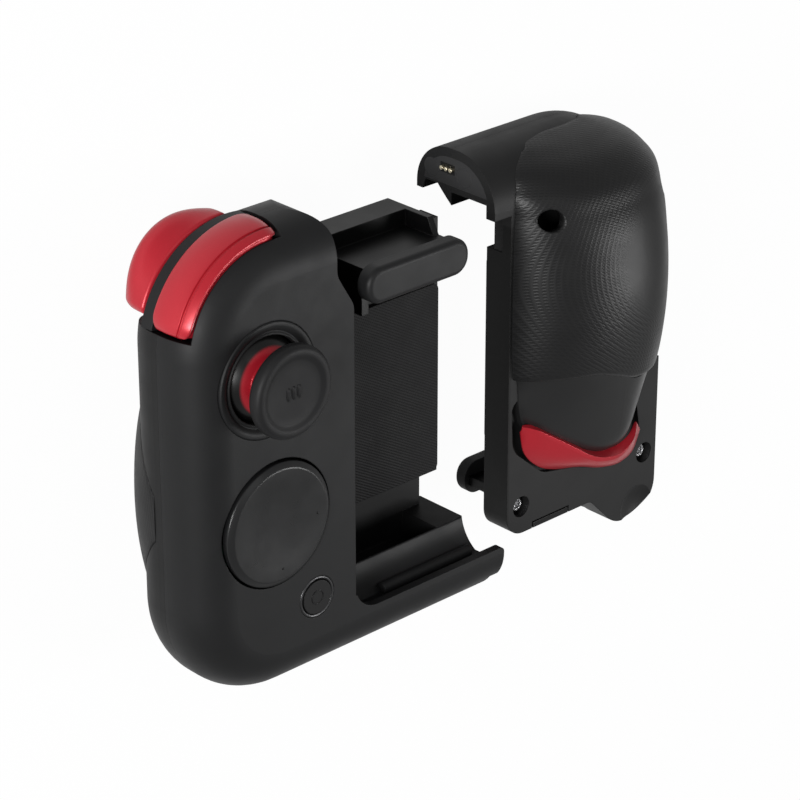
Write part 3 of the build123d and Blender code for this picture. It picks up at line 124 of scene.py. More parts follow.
def along(tree, where, direction):
    """How far a place lies along a direction: their dot product, in metres."""
    node = tree.nodes.new("ShaderNodeVectorMath")
    node.operation = "DOT_PRODUCT"
    tree.links.new(where, node.inputs[0])
    node.inputs[1].default_value = direction
    return node.outputs["Value"]


print("node helpers ready")

# %% [markdown]
# ## Reliefs
#
# Two skins have a pattern of their own. The grips carry two families of fine raised lines that
# cross: each family is a set of spheres about a far centre, so its lines curve gently over the
# bulge, and one formula serves the whole surface. The phone rests have a fine diamond: two straight
# families at right angles.

# %% Relief makers
def lines_about(tree, where, centre, pitch):
    """Height of fine lines: the sine of the distance from a centre, one line per pitch."""
    turns = sums(tree, "MULTIPLY", distance_from(tree, where, centre), 2 * pi / (pitch * MM))
    return sums(tree, "SINE", turns)


SECOND_PITCH_SHARE = 0.9      # the second family's pitch, as a share of the first's
SECOND_HEIGHT_SHARE = 0.8     # and its height
FADE_SHARE = 1.6              # where the lines are at full height, as a share of the still radius


def woven(first, second, pitch, still=(0, 0, 0), still_radius=0.0):
    """Relief of two crossing families of lines, the higher of the two at each place. It fades out
    near a still centre."""
    def relief(tree, where):
        lines = lines_about(tree, where, second, pitch * SECOND_PITCH_SHARE)
        height = sums(tree, "MAXIMUM", lines_about(tree, where, first, pitch),
                      sums(tree, "MULTIPLY", lines, SECOND_HEIGHT_SHARE))
        if still_radius > 0:
            near = distance_from(tree, where, still)
            fade = remap(tree, near, still_radius * MM, still_radius * FADE_SHARE * MM, 0.0, 1.0)
            height = sums(tree, "MULTIPLY", height, fade)
        return height
    return relief


PAD_DIRECTIONS = ((0.97, 0.26, 0), (-0.26, 0.97, 0))  # fifteen degrees off the pad's own edges


def diamonds(pitch):
    """Relief of small diamonds: the product of two sines that cross at right angles."""
    def relief(tree, where):
        waves = []
        for direction in PAD_DIRECTIONS:
            phase = sums(tree, "MULTIPLY", along(tree, where, direction), 2 * pi / (pitch * MM))
            waves.append(sums(tree, "SINE", phase))
        return sums(tree, "MULTIPLY", waves[0], waves[1])
    return relief


def below(direction, limit, soft=0.15):
    """Share that is one where a place lies below a limit along a direction, in millimetres."""
    def share(tree, where):
        at = float(np.dot(place([0, 0, 0]), direction)) + limit * MM
        return remap(tree, along(tree, where, direction), at - soft * MM, at + soft * MM, 1.0, 0.0)
    return share


def both(first, second):
    """Share of a place in two shares at once: their product."""
    return lambda tree, where: sums(tree, "MULTIPLY", first(tree, where), second(tree, where))


print("reliefs ready")


# %% Finish maker
MOTTLE_SCALE = 45.0           # noise cells per metre
SMUDGE_SCALE = 160.0
SMUDGE = 0.03                 # how far the roughness strays to either side
FLECK_SHARE = 1.7             # a fleck's fineness beside the grain, and its paleness beside the colour
CREST_SHARE = 1.5             # paleness of a relief's crests
EDGE_RADIUS = 0.25            # millimetres
COAT_ROUGHNESS = 0.25
BUMP_STRENGTH = 0.5
# black of the painted shade that a finish mixes in where its inner walls lie in shade
PAINTED_SHADE_BLACK = (0.003, 0.003, 0.003, 1.0)


def paler(colour, share):
    """A colour times a share, held at 1, with full alpha."""
    return (*[min(1.0, c * share) for c in colour], 1.0)


def finish_of(name, dark, light, rough, metal=0.0, grain=2200.0, depth=0.02, coat=0.0, specular=0.22,
              relief=None, relief_depth=0.05, flecks=0.25, shade=None):
    """A moulded finish: colour between dark and light, grain bump, smudged roughness, soft edges.
    Depths are millimetres and grain is noise cells per metre. shade gives a share of black by place,
    which is painted shade on a part's inner walls and hollows, where they lie in shade."""
    mat = bpy.data.materials.new(name)
    mat.use_nodes = True
    tree = mat.node_tree
    bsdf = tree.nodes["Principled BSDF"]
    where = tree.nodes.new("ShaderNodeTexCoord").outputs["Object"]
    mottle = remap(tree, noise(tree, where, MOTTLE_SCALE, 4.0), 0.3, 0.7, 0.3, 0.7)
    colour = mix_colour(tree, mottle, (*dark, 1.0), (*light, 1.0))
    speck = remap(tree, noise(tree, where, grain * FLECK_SHARE, 2.0), 0.6, 0.75, 0.0, flecks)
    colour = mix_colour(tree, speck, colour, paler(light, FLECK_SHARE))
    smudges = remap(tree, noise(tree, where, SMUDGE_SCALE, 5.0), 0.3, 0.7, rough - SMUDGE, rough + SMUDGE)
    tree.links.new(smudges, bsdf.inputs["Roughness"])
    bsdf.inputs["Metallic"].default_value = metal
    bsdf.inputs["Specular IOR Level"].default_value = specular
    bsdf.inputs["Coat Weight"].default_value = coat
    bsdf.inputs["Coat Roughness"].default_value = COAT_ROUGHNESS
    soft = tree.nodes.new("ShaderNodeBevel")
    soft.samples = 4
    soft.inputs["Radius"].default_value = EDGE_RADIUS * MM
    normal = soft.outputs["Normal"]
    bumps = [(noise(tree, where, grain, 4.0, 0.65), depth)]
    if relief:
        height = relief(tree, where)
        bumps.append((height, relief_depth))
        crest = remap(tree, height, 0.2, 1.0, 0.0, 0.3)
        colour = mix_colour(tree, crest, colour, paler(light, CREST_SHARE))
    for height, size in bumps:
        bump = tree.nodes.new("ShaderNodeBump")
        bump.inputs["Strength"].default_value = BUMP_STRENGTH
        bump.inputs["Distance"].default_value = size * MM
        tree.links.new(height, bump.inputs["Height"])
        tree.links.new(normal, bump.inputs["Normal"])
        normal = bump.outputs["Normal"]
    # painted shade: black mixed into the colour where the shade mask says a place lies in shade
    if shade:
        colour = mix_colour(tree, shade(tree, where), colour, PAINTED_SHADE_BLACK)
    tree.links.new(colour, bsdf.inputs["Base Color"])
    tree.links.new(normal, bsdf.inputs["Normal"])
    print("finish", name)
    return mat


# %% The finishes of this object
shell_greys = (0.0071, 0.0073, 0.0076), (0.0099, 0.0100, 0.0105)
shell = finish_of("shell", *shell_greys, 0.5, grain=2600.0, depth=0.03)
# The rear shell is darker than the front shell: painted shade for the deep slot behind the fixed jaw, which
# this shell forms.
shell_rear = finish_of("shell rear", (0.0041, 0.0041, 0.0043), (0.0061, 0.0061, 0.0063), 0.46,
                       grain=2600.0, depth=0.02)
black = finish_of("black plastic", (0.0015, 0.0015, 0.0016), (0.0027, 0.0027, 0.0029), 0.36,
                  grain=2600.0, depth=0.012)
rubber = finish_of("rubber", (0.0065, 0.0065, 0.0069), (0.0092, 0.0092, 0.0097), 0.55,
                   grain=2800.0, depth=0.02)
pad = finish_of("phone rest", (0.0051, 0.0051, 0.0054), (0.0075, 0.0075, 0.0078), 0.6,
                grain=3000.0, depth=0.02, relief=diamonds(0.8), relief_depth=0.1)
lip = finish_of("jaw lip", (0.0085, 0.0086, 0.0090), (0.0119, 0.0120, 0.0125), 0.5,
                grain=2800.0, depth=0.015)
arm_end = finish_of("arm end", (0.028, 0.028, 0.029), (0.034, 0.034, 0.035), 0.42,
                    grain=2800.0, depth=0.015)
lacquer = finish_of("disc lacquer", (0.0071, 0.0073, 0.0076), (0.0095, 0.0097, 0.0101), 0.3,
                    grain=1500.0, depth=0.003, specular=0.35)

# %% Reds and the greys of the right half
# The dome below DOME_SHADE_LEVEL and the plate's walls left of PLATE_SHADE_X and below PLATE_SHADE_Y are
# painted black: painted shade where they lie in the socket and in the plate's slot.
DOME_SHADE_LEVEL = 35.1       # below this level the dome lies in its socket
PLATE_SHADE_X = 43.1          # the plate's inner walls lie left of this line
PLATE_SHADE_Y = 21.0          # and below this one
red = finish_of("red lacquer", (0.4, 0.012, 0.022), (0.48, 0.017, 0.03), 0.34,
                metal=0.25, grain=3800.0, depth=0.004, coat=0.25, specular=0.3)
red_dome = finish_of("red dome", (0.3, 0.008, 0.016), (0.36, 0.011, 0.021), 0.3,
                     metal=0.25, grain=3800.0, depth=0.004, coat=0.25, specular=0.3,
                     shade=below((0, 0, 1), DOME_SHADE_LEVEL, 0.25))
plate = finish_of("plate grey", (0.0092, 0.0092, 0.0094), (0.0119, 0.0119, 0.0121), 0.5,
                  grain=3000.0, depth=0.015,
                  shade=both(below((1, 0, 0), PLATE_SHADE_X), below((0, 1, 0), PLATE_SHADE_Y)))
nose = finish_of("nose satin", (0.012, 0.012, 0.0122), (0.015, 0.015, 0.0153), 0.36,
                 grain=3000.0, depth=0.012, specular=0.35)

# %% Woven grips
WEAVE_PITCH = 0.66
WEAVE_DEPTH = 0.035
right_lines = (74.0, 8.0, 20.0), (20.0, -60.0, 60.0)
left_lines = (-20.0, -20.0, -30.0), (-90.0, 60.0, 20.0)
bare_middle = (76.0, 10.0, 30.0)
bare_radius = 11.0
grip_greys = (0.0058, 0.0058, 0.0060), (0.0082, 0.0082, 0.0084)
grip = finish_of("right grip", *grip_greys, 0.42, grain=3000.0, depth=0.012, specular=0.3,
                 relief=woven(*right_lines, WEAVE_PITCH, bare_middle, bare_radius),
                 relief_depth=WEAVE_DEPTH)
left_grip = finish_of("left grip", *grip_greys, 0.46, grain=3000.0, depth=0.012,
                      relief=woven(*left_lines, WEAVE_PITCH), relief_depth=WEAVE_DEPTH)

# %% Metals, boards and foil
dull_steel = finish_of("dull ring", (0.06, 0.06, 0.062), (0.09, 0.09, 0.092), 0.3,
                       metal=1.0, grain=900.0, depth=0.003)
steel = finish_of("steel", (0.45, 0.45, 0.46), (0.6, 0.6, 0.61), 0.25,
                  metal=1.0, grain=900.0, depth=0.004)
gold = finish_of("gold plate", (0.72, 0.64, 0.46), (0.85, 0.78, 0.6), 0.25,
                 metal=1.0, grain=900.0, depth=0.004)
board = finish_of("board", (0.01, 0.09, 0.05), (0.02, 0.14, 0.08), 0.4, grain=1200.0, depth=0.02)
foil = finish_of("battery foil", (0.35, 0.36, 0.38), (0.45, 0.46, 0.48), 0.35,
                 metal=0.8, grain=700.0, depth=0.02)

# %% Each mechanical node gets its finish
finishes = {
    "left_front_shell": shell, "left_rear_shell": shell_rear, "right_front_shell": shell,
    "right_rear_cover": plate, "right_grip_cover": grip, "right_trigger_hood": nose,
    "left_grip_cover": left_grip, "left_rest_pad": pad, "right_rest_pad": pad, "left_jaw_rib": lip,
    "right_jaw_rib": lip, "left_jaw_lip": lip, "right_jaw_lip": lip, "left_stick_shaft": red,
    "left_bumper": red, "left_trigger": red, "right_trigger": red,
    "left_stick_socket": shell_rear, "left_shoulder_frame": shell,
    "left_guide_rods": steel, "right_guide_rods": steel, "left_shoulder_pins": steel,
    "right_trigger_pin": steel, "left_arm_magnets": steel, "right_arm_magnets": arm_end,
    "right_arm_cap": arm_end,
    "left_charge_port": steel, "left_contact_pads": gold, "left_main_board": board,
    "right_main_board": board, "left_battery": foil, "right_battery": foil, "left_mode_button": shell_rear,
}
for name, obj in nodes.items():
    obj.data.materials.clear()
    obj.data.materials.append(finishes.get(name, black))
print(len(nodes), "nodes finished")

# %% [markdown]
# ## Skins
#
# The small turned and rounded pieces are closed skins over rings of points. A ring is one closed
# row of a grid, and neighbouring rings are joined by quads. A wrong winding shows as a negative
# volume, so every skin is measured and turned the right way out before it becomes a mesh.

# %% Skin over rings
def facing_out(points, quads, triangles):
    """Turns every face over when the volume that they enclose comes out negative."""
    corners = np.concatenate([quads[:, [0, 1, 2]], quads[:, [0, 2, 3]], triangles])
    a, b, c = points[corners[:, 0]], points[corners[:, 1]], points[corners[:, 2]]
    if np.einsum("ij,ij->i", a, np.cross(b, c)).sum() < 0:
        quads, triangles = quads[:, ::-1], triangles[:, ::-1]
    return points, quads, triangles


def skin(rings, hoop=False):
    """Closed skin over rings (rings, points, 3). Its two ends are closed by fans about their middles,
    or, for a hoop, the last ring is joined to the first."""
    rings = np.asarray(rings, dtype=float)
    rows, around = rings.shape[:2]
    index = np.arange(rows * around).reshape(rows, around)
    points = rings.reshape(-1, 3)
    triangles = np.zeros((0, 3), dtype=int)
    if hoop:
        index = np.vstack([index, index[:1]])
    else:
        ahead = np.roll(index, -1, axis=1)
        first = np.stack([np.full(around, rows * around), ahead[0], index[0]], axis=-1)
        last = np.stack([np.full(around, rows * around + 1), index[-1], ahead[-1]], axis=-1)
        triangles = np.concatenate([first, last])
        points = np.concatenate([points, [rings[0].mean(axis=0), rings[-1].mean(axis=0)]])
    ahead = np.roll(index, -1, axis=1)
    quads = np.stack([index[:-1], ahead[:-1], ahead[1:], index[1:]], axis=-1).reshape(-1, 4)
    return facing_out(points, quads, triangles)


def piece(name, body, finish, skins, stands_for=(), crease=32.0):
    """One object made of closed skins, which rides on a body and may stand for mechanical nodes."""
    points = np.concatenate([s[0] for s in skins])
    offset = 0
    faces = []
    for own, quads, triangles in skins:
        faces += (quads + offset).tolist() + (triangles + offset).tolist()
        offset += len(own)
    mesh = bpy.data.meshes.new(name)
    mesh.from_pydata(place(points).tolist(), [], faces)
    mesh.polygons.foreach_set("use_smooth", np.ones(len(faces), dtype=bool))
    mesh.set_sharp_from_angle(angle=radians(crease))
    mesh.materials.append(finish)
    obj = bpy.data.objects.new(name, mesh)
    bpy.context.collection.objects.link(obj)
    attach(obj, body)
    if stands_for:
        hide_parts(*stands_for)
    print(name, len(faces), "faces")
    return obj


# %% Turned shapes, arcs and pebbles
def turned(profile, at, axis=2, around=96, wave=None, ring=False):
    """Skin of (radius, height) pairs carried round an axis through a point. wave holds one share per
    pair: the radius becomes r(1 + share cos 6a) at angle a, which gives a six-lobed recess. A ring's
    profile is a closed loop, and its last pair is joined to its first."""
    profile = np.asarray(profile, dtype=float)
    angle = np.linspace(0, 2 * pi, around, endpoint=False)
    share = np.zeros(len(profile)) if wave is None else np.asarray(wave, dtype=float)
    radius = profile[:, :1] * (1 + share[:, None] * np.cos(6 * angle))
    height = np.repeat(profile[:, 1:], around, axis=1)
    rings = np.stack([radius * np.cos(angle), radius * np.sin(angle), height], axis=-1)
    return skin(np.roll(rings, axis + 1, axis=-1) + np.asarray(at, dtype=float), hoop=ring)


def arc(radius, height, size, start, end, count=8):
    """Points of an arc in the plane of a turned profile, from one angle in degrees to another."""
    angle = np.radians(np.linspace(start, end, count))
    return list(zip(radius + size * np.cos(angle), height + size * np.sin(angle)))


def hoop(at, radius, size, squash=1.0):
    """Skin of a ring of round section: the circle of that size carried round a circle of that radius."""
    a = np.linspace(0, 2 * pi, 96, endpoint=False)[None, :]
    b = np.linspace(0, 2 * pi, 20, endpoint=False)[:, None]
    reach = radius + size * np.cos(b)
    rings = np.stack([reach * np.cos(a), reach * np.sin(a), size * squash * np.sin(b) + 0 * a], axis=-1)
    return skin(rings + np.asarray(at, dtype=float), hoop=True)


def walled(outer, inner):
    """Closed skin of a wall between an outer and an inner grid of points (rows, columns, 3): each row
    is a loop out along one grid and back along the other, and the end rows are closed between them."""
    rows, columns = outer.shape[:2]
    points = np.concatenate([outer, inner[:, ::-1]], axis=1)
    index = np.arange(rows * columns * 2).reshape(rows, columns * 2)
    ahead = np.roll(index, -1, axis=1)
    sides = np.stack([index[:-1], ahead[:-1], ahead[1:], index[1:]], axis=-1).reshape(-1, 4)
    low, high, back = index[:, :columns - 1], index[:, 1:columns], index[:, :columns - 1:-1]
    first = np.stack([high[0], low[0], back[0, :-1], back[0, 1:]], axis=-1)
    last = np.stack([low[-1], high[-1], back[-1, 1:], back[-1, :-1]], axis=-1)
    quads = np.concatenate([sides, first, last])
    return facing_out(points.reshape(-1, 3), quads, np.zeros((0, 3), dtype=int))


def flowing(stations, where):
    """Rows between given stations: a cubic through them with slopes from the neighbours, read at
    places along the first column. Returns the other columns, each (count, 1)."""
    stations = np.asarray(sorted(stations), dtype=float)
    x = stations[:, 0]
    k = np.clip(np.searchsorted(x, where) - 1, 0, len(x) - 2)
    width = x[k + 1] - x[k]
    t = (where - x[k]) / width
    columns = []
    for y in stations[:, 1:].T:
        slope = np.gradient(y, x)
        columns.append((2 * t**3 - 3 * t**2 + 1) * y[k] + (t**3 - 2 * t**2 + t) * width * slope[k]
                       + (3 * t**2 - 2 * t**3) * y[k + 1] + (t**3 - t**2) * width * slope[k + 1])
    return columns


def pebble(at, half, power=1.0):
    """Skin of an ellipsoid with three half sizes; a power below 1 makes it squarer."""
    def soft(wave):
        return np.sign(wave) * np.abs(wave) ** power
    up = np.linspace(-pi / 2, pi / 2, 26)[1:-1, None]
    a = np.linspace(0, 2 * pi, 40, endpoint=False)[None, :]
    rings = np.stack([soft(np.cos(up)) * soft(np.cos(a)), soft(np.cos(up)) * soft(np.sin(a)),
                      soft(np.sin(up)) + 0 * a], axis=-1)
    return skin(rings * np.asarray(half, dtype=float) + np.asarray(at, dtype=float))


print("shape makers ready")


# %% [markdown]
# ## The stick's cap
#
# The cap is a turned rubber button: round shoulder, a raised lip and a shallow dish with three
# short raised bars, which the thumb finds by touch. Its bore sits over the spigot of the red dome.

# %% Stick cap
stick = (-34.0, 15.0)         # the stick's axis
dish = 42.45                  # level of the dish's rim
profile = [(0.5, 41.5), (2.25, 41.5), (2.25, 39.7), (7.7, 39.7)]
profile += arc(8.1, 41.0, 1.3, -90, 0)
profile += arc(8.2, 41.8, 1.2, 0, 90, 10)
profile += [(7.75, 43.0), (7.35, 42.9), (6.9, 42.62)]
profile += [(6.4, dish + 0.04), (5.0, dish - 0.02), (0.5, dish - 0.1)]
bar_spacing = 1.35
bar_half = (0.36, 1.35, 0.42)
bars = [pebble((stick[0] + bar_spacing * k, stick[1], dish - 0.1), bar_half, 0.7) for k in (-1, 0, 1)]
piece("stick_cap", "left_stick_cap_body", rubber, [turned(profile, (*stick, 0.0))] + bars,
      ["left_stick_cap"])

# %% [markdown]
# ## The direction disc
#
# A large rocker plate with a turned bevel round its rim and a very shallow dish. Two pin pricks
# mark the corners of its lower right part. It keeps the hub and the cross pin that carry it.

# %% Disc
disc = (-32.4, -15.8)         # the disc's middle
profile = [(0.5, 30.6), (2.0, 30.6), (2.0, 33.9), (12.3, 33.9)]
profile += arc(12.5, 34.4, 0.5, -90, 0, 5)
profile += arc(12.7, 35.35, 0.3, 0, 55, 5)
profile += [(11.95, 36.22), (11.8, 36.28), (11.6, 36.28)]
profile += [(9.0, 36.12), (6.0, 35.98), (3.0, 35.9), (0.5, 35.88)]
pin = turned([(0.3, -4.0), (0.6, -3.8), (0.6, 3.8), (0.3, 4.0)], (*disc, 31.5), axis=1, around=32)
piece("direction_disc", "left_disc_body", lacquer,
      [turned(profile, (*disc, 0.0), around=160), pin], ["left_disc"])
prick_half = (0.26, 0.26, 0.1)
marks = [pebble(at, prick_half) for at in ((-22.95, -16.4, 36.16), (-32.05, -25.4, 36.16))]
piece("disc_marks", "left_disc_body", black, marks)

# %% [markdown]
# ## The round button
#
# A thin bright ring frames the button, with a bare round mark in place of a sign.

# %% Round button ring and mark
mode = (-22.4, -35.6)         # the round button's middle
piece("mode_ring", "left_unit", dull_steel, [hoop((*mode, 34.78), 4.12, 0.36, 0.9)])
piece("mode_mark", "left_mode_button_body", black, [hoop((*mode, 35.2), 1.45, 0.16, 0.5)])

# %% [markdown]
# ## The stick's red dome and its socket
#
# The dome is part of a sphere about the stick's pivot, so it slides past the socket's mouth at
# any tilt. A narrow neck joins it to the cap. The socket is a turned ring with two soft lips.

# %% Red dome and socket ring
PIVOT = 26.0                  # level of the stick's crossed pins
DOME_RADIUS = 11.4
DOME_INSIDE = 10.0
loop = arc(0.0, PIVOT, DOME_RADIUS, 22, 62.5, 24) + [(5.2, 37.2), (5.2, 39.9), (2.4, 39.9), (2.4, 37.0)]
loop += arc(0.0, PIVOT, DOME_INSIDE, 74, 22, 20)
shaft = turned([(0.5, 23.4), (2.2, 23.4), (2.2, 41.0), (0.5, 41.0)], (*stick, 0.0), around=48)
cross = turned([(0.3, -4.8), (0.6, -4.6), (0.6, 4.6), (0.3, 4.8)], (*stick, PIVOT), axis=1, around=32)
hub = pebble((*stick, PIVOT), (2.6, 2.6, 2.6), 0.3)
piece("stick_dome", "left_stick_body", red_dome,
      [turned(loop, (*stick, 0.0), ring=True), shaft, cross, hub], ["left_stick_shaft"])
outer_lip = [(11.85, 33.45), (11.85, 34.95), (11.6, 35.2), (11.1, 35.28), (10.5, 35.15), (10.1, 34.8)]
inner_lip = [(9.55, 34.5), (9.4, 34.7), (9.15, 34.78), (8.95, 34.6), (8.9, 34.3), (8.9, 33.45)]
loop = outer_lip + [(9.8, 34.5)] + inner_lip
piece("socket_ring", "left_unit", shell, [turned(loop, (*stick, 0.0), ring=True)],
      ["left_stick_socket"])

# %% [markdown]
# ## Shoulder controls
#
# Both red controls are swept round the top left corner of the case. The upper one is a thick
# pillow: one closed section, carried round and drawn in at its ends by a quarter circle. It has a
# fine groove and a ridge beside the face. The lower one is a thin shell whose radius is the
# corner's own plus a bulge: a sine along the corner times a sine from front to back.

# %% Upper shoulder control
CORNER = np.array([-30.3, 21.5])  # centre of the case's top left corner


def round_corner(reach, level, angle):
    """Points at a reach from the corner's centre, a level and an angle in degrees from -X towards +Y."""
    a = np.radians(angle)
    return np.stack([CORNER[0] - reach * np.cos(a), CORNER[1] + reach * np.sin(a), level + 0 * a], axis=-1)


def bumper_section():
    """Closed section (reach, level): side wall, round back, groove, ridge and the lip under the face."""
    centre = (12.5, 25.5)
    low = [(19.6, 22.85), (22.3, 22.85), (22.65, 23.0), (22.8, 23.4)]
    back = arc(*centre, 10.3, 0, 23.6, 12)
    groove = arc(*centre, 9.95, 24.6, 26.2, 3)
    ridge = arc(*centre, 10.62, 27.6, 37.0, 8) + arc(*centre, 10.45, 37.8, 38.8, 2)
    under = [(20.5, 31.3), (17.1, 31.3), (17.1, 28.7), (19.6, 28.7)]
    return np.array(low + back + groove + ridge + under)


section = bumper_section()
END_REACH = 22.0              # where the end's rounding is measured
END_ROUND = 3.4
angle = np.linspace(14.9, 97.1, 110)
end = np.minimum(angle - angle[0], angle[-1] - angle) * np.pi / 180 * END_REACH / END_ROUND
draw = np.sqrt(1 - (1 - np.clip(end, 0.0, 1.0)) ** 2)[:, None]
core = np.array([20.4, 26.6])   # the section draws in towards this point
reach = core[0] + (section[None, :, 0] - core[0]) * (0.45 + 0.55 * draw)
level = core[1] + (section[None, :, 1] - core[1]) * (0.62 + 0.38 * draw)
rows = round_corner(reach, level, angle[:, None] + 0 * reach)
piece("bumper_shell", "left_bumper_body", red, [skin(rows)], ["left_bumper"], crease=40.0)

# %% Lower shoulder control
angle = np.linspace(18.8, 92.9, 100)[:, None]
depth = np.linspace(0.0, 1.0, 44)[None, :]
along_corner = (angle - angle[0]) / (angle[-1] - angle[0])
BULGE = 3.5
CASE_REACH = 21.6             # the control's reach where it has no bulge
bulge = BULGE * np.sin(pi * np.clip(along_corner, 0, 1)) ** 1.2 * np.sin(pi * depth ** 1.357) ** 0.9
front = 0.7 * (1 - np.clip(depth / 0.05, 0, 1)) ** 2
close = 0.9 * (1 - np.clip(np.minimum(along_corner, 1 - along_corner) / 0.05, 0, 1)) ** 2
reach = CASE_REACH + bulge - 6.6 * depth ** 3 - front - close
level = 18.8 - 10.6 * depth + 0 * reach
outer = round_corner(reach, level, angle + 0 * reach)
inner_reach = reach - 1.7 - 1.6 * (1 - depth)
inner_angle = np.clip(angle, 20.6, 91.1) + 0 * reach
inner = round_corner(inner_reach, np.clip(level, 8.9, 18.1), inner_angle)
piece("trigger_shell", "left_trigger_body", red, [walled(outer, inner)], ["left_trigger"],
      crease=40.0)

# %% [markdown]
# ## The right trigger
#
# A lever that closes round the nose: a broad lobe at the left runs into a narrow double rim at the
# right. Two curves give it, the foot on the plate and the ridge above it. Between them the surface
# swells a little, and past the ridge it turns down inside.

# %% Right lever
# each row of these two curves is a share along the lever, then x, y and level
foot = [(0.0, 45.4, -26.2, 23.6), (0.1, 46.6, -31.1, 23.5), (0.25, 51.3, -36.3, 23.45),
        (0.38, 56.3, -38.7, 23.45), (0.52, 63.8, -40.6, 23.45), (0.64, 69.4, -42.4, 23.7),
        (0.78, 75.5, -43.0, 24.7), (0.9, 79.7, -41.4, 24.9), (1.0, 81.9, -37.1, 24.9)]
ridge = [(0.0, 45.5, -24.9, 24.4), (0.1, 48.1, -26.3, 26.0), (0.25, 52.5, -29.5, 27.2),
         (0.38, 57.4, -33.0, 28.2), (0.52, 61.8, -36.2, 28.8), (0.64, 65.6, -37.9, 29.0),
         (0.78, 71.6, -38.7, 28.8), (0.9, 76.6, -37.0, 27.8), (1.0, 80.0, -34.6, 25.6)]
s = np.linspace(0, 1, 120)
low = np.stack(flowing(foot, s), axis=-1)[:, None, :]
top = np.stack(flowing(ridge, s), axis=-1)[:, None, :]
t = np.linspace(0, 1, 26)[None, :, None]
swell = np.sin(pi * s)[:, None, None] ** 0.5
width = np.linalg.norm(top - low, axis=-1, keepdims=True)
outer = low + (top - low) * t + np.array([-0.25, -0.5, 0.75]) * np.sin(pi * t) * width * 0.11 * swell
rim = top + np.array([0.25, 0.9, 0.1]) * np.linspace(0.1, 1.0, 6)[None, :, None] * swell
drop = np.linspace(0.1, 1.0, 8)[None, :, None]
down = rim[:, -1:] + np.array([0.12, 0.42, -1.0]) * drop * (0.25 + 2.4 * swell)
outer = np.concatenate([outer, rim, down], axis=1)
heart = (low + top) / 2 + np.array([0.1, 0.9, -1.2]) * swell
LEVER_WALL = 1.1
way_in = np.linalg.norm(heart - outer, axis=-1, keepdims=True)
inner = outer + (heart - outer) * np.clip(LEVER_WALL / way_in, 0.05, 0.75)
hinge = turned([(0.95, 63.0), (1.7, 63.1), (1.7, 75.3), (0.95, 75.4)], (0.0, -24.0, 24.9), axis=0, around=40)
arm = pebble((69.2, -31.0, 24.9), (6.1, 6.6, 1.15), 0.25)
piece("lever_shell", "right_trigger_body", red, [walled(outer, inner), hinge, arm],
      ["right_trigger"], crease=50.0)

# %% [markdown]
# ## The right grip
#
# The palm grip is a smooth bulge: half ovals across, whose width and height flow from the top to
# the crease above the trigger's nose. It is a wall with a rounded lower edge, and two bores for
# the screws are cut through it.

# %% Right grip
BASE_LEFT = 18.0              # level of the bulge's foot inside the plate
BASE_RIGHT = 12.6             # and at the slab's side
FULLER = 0.9                  # power on sine and cosine
TOP_Y = 35.6                  # where the bulge ends at its top
LOWER_ROUND = 1.3             # radius of its rounded lower edge
GRIP_WALL = 1.6
# each row: y, left edge, middle, right edge, crown's level
grip_rows = [(36.0, 56.0, 64.0, 70.0, 13.2), (34.8, 52.0, 64.5, 75.0, 18.4), (33.0, 47.0, 65.0, 80.2, 23.2),
             (28.0, 43.0, 66.0, 86.8, 30.2), (22.0, 42.7, 66.0, 88.7, 33.2), (12.0, 42.7, 66.5, 89.15, 35.6),
             (0.0, 42.7, 67.0, 89.15, 36.4), (-10.0, 42.8, 67.0, 89.15, 35.4),
             (-18.0, 43.6, 67.0, 88.8, 33.7), (-26.0, 46.0, 68.0, 87.0, 31.0)]
# each row: x, y of the crease above the nose
crease_rows = [(40.0, -14.1), (52.0, -13.5), (58.0, -13.8), (64.0, -15.8), (70.0, -18.2), (78.0, -19.5),
               (92.0, -20.8)]


def bulge_points(inset):
    """Half oval x = middle -/+ width cos a, level = base + height sin a, in rows from the crease up.
    The base lies inside the plate on the left and at the slab's side on the right. A power of 0.9 on
    sine and cosine makes the oval a little fuller."""
    a = np.linspace(pi, 0, 130)[None, :]
    share = np.linspace(0, 1, 120)[:, None] ** 1.15
    y = -15.0 + 0 * a + 0 * share
    for _ in range(3):
        left, middle, right, crown = (c.reshape(y.shape) for c in flowing(grip_rows, y.ravel()))
        wide = np.sign(np.cos(a)) * np.abs(np.cos(a)) ** FULLER
        x = middle + np.where(a > pi / 2, middle - left - inset, right - middle - inset) * wide
        line = flowing(crease_rows, np.clip(x[0], 40.1, 91.9))[0]
        y = line + (TOP_Y - inset - line) * share
    edge = LOWER_ROUND * (1 - np.sqrt(1 - (1 - np.clip((y - line) / LOWER_ROUND, 0, 1)) ** 2))
    base = np.minimum(np.where(a > pi / 2, BASE_LEFT, BASE_RIGHT), crown - 1.0)
    return np.stack([x, y, base + (crown - base - inset - edge) * np.sin(a) ** FULLER], axis=-1)


grip_skin = walled(bulge_points(0.0), bulge_points(GRIP_WALL))
grip_piece = piece("grip_bulge", "right_unit", grip, [grip_skin], ["right_grip_cover"],
                   crease=50.0)
upper_screws = [(48.6, 22.5), (84.4, 21.0)]
bore = [(0.5, 19.0), (2.4, 19.0), (2.4, 40.0), (0.5, 40.0)]
bores = piece("bores", "right_unit", grip,
              [turned(bore, (x, y, 0.0), around=48) for x, y in upper_screws])
cut = grip_piece.modifiers.new("bores", "BOOLEAN")
cut.operation = "DIFFERENCE"
cut.solver = "EXACT"
cut.object = bores
bpy.context.view_layer.update()
graph = bpy.context.evaluated_depsgraph_get()
whole = bpy.data.meshes.new_from_object(grip_piece.evaluated_get(graph), depsgraph=graph)
grip_piece.modifiers.clear()
grip_piece.data = whole
bpy.data.objects.remove(bores)
print("grip bulge", len(whole.polygons), "faces after its bores")

# %% [markdown]
# ## Screws and sprung contacts
#
# The screws are small pan heads with a six-lobed recess. The lobes are a cosine on the radius of
# the recess rings only, so the head stays round outside.

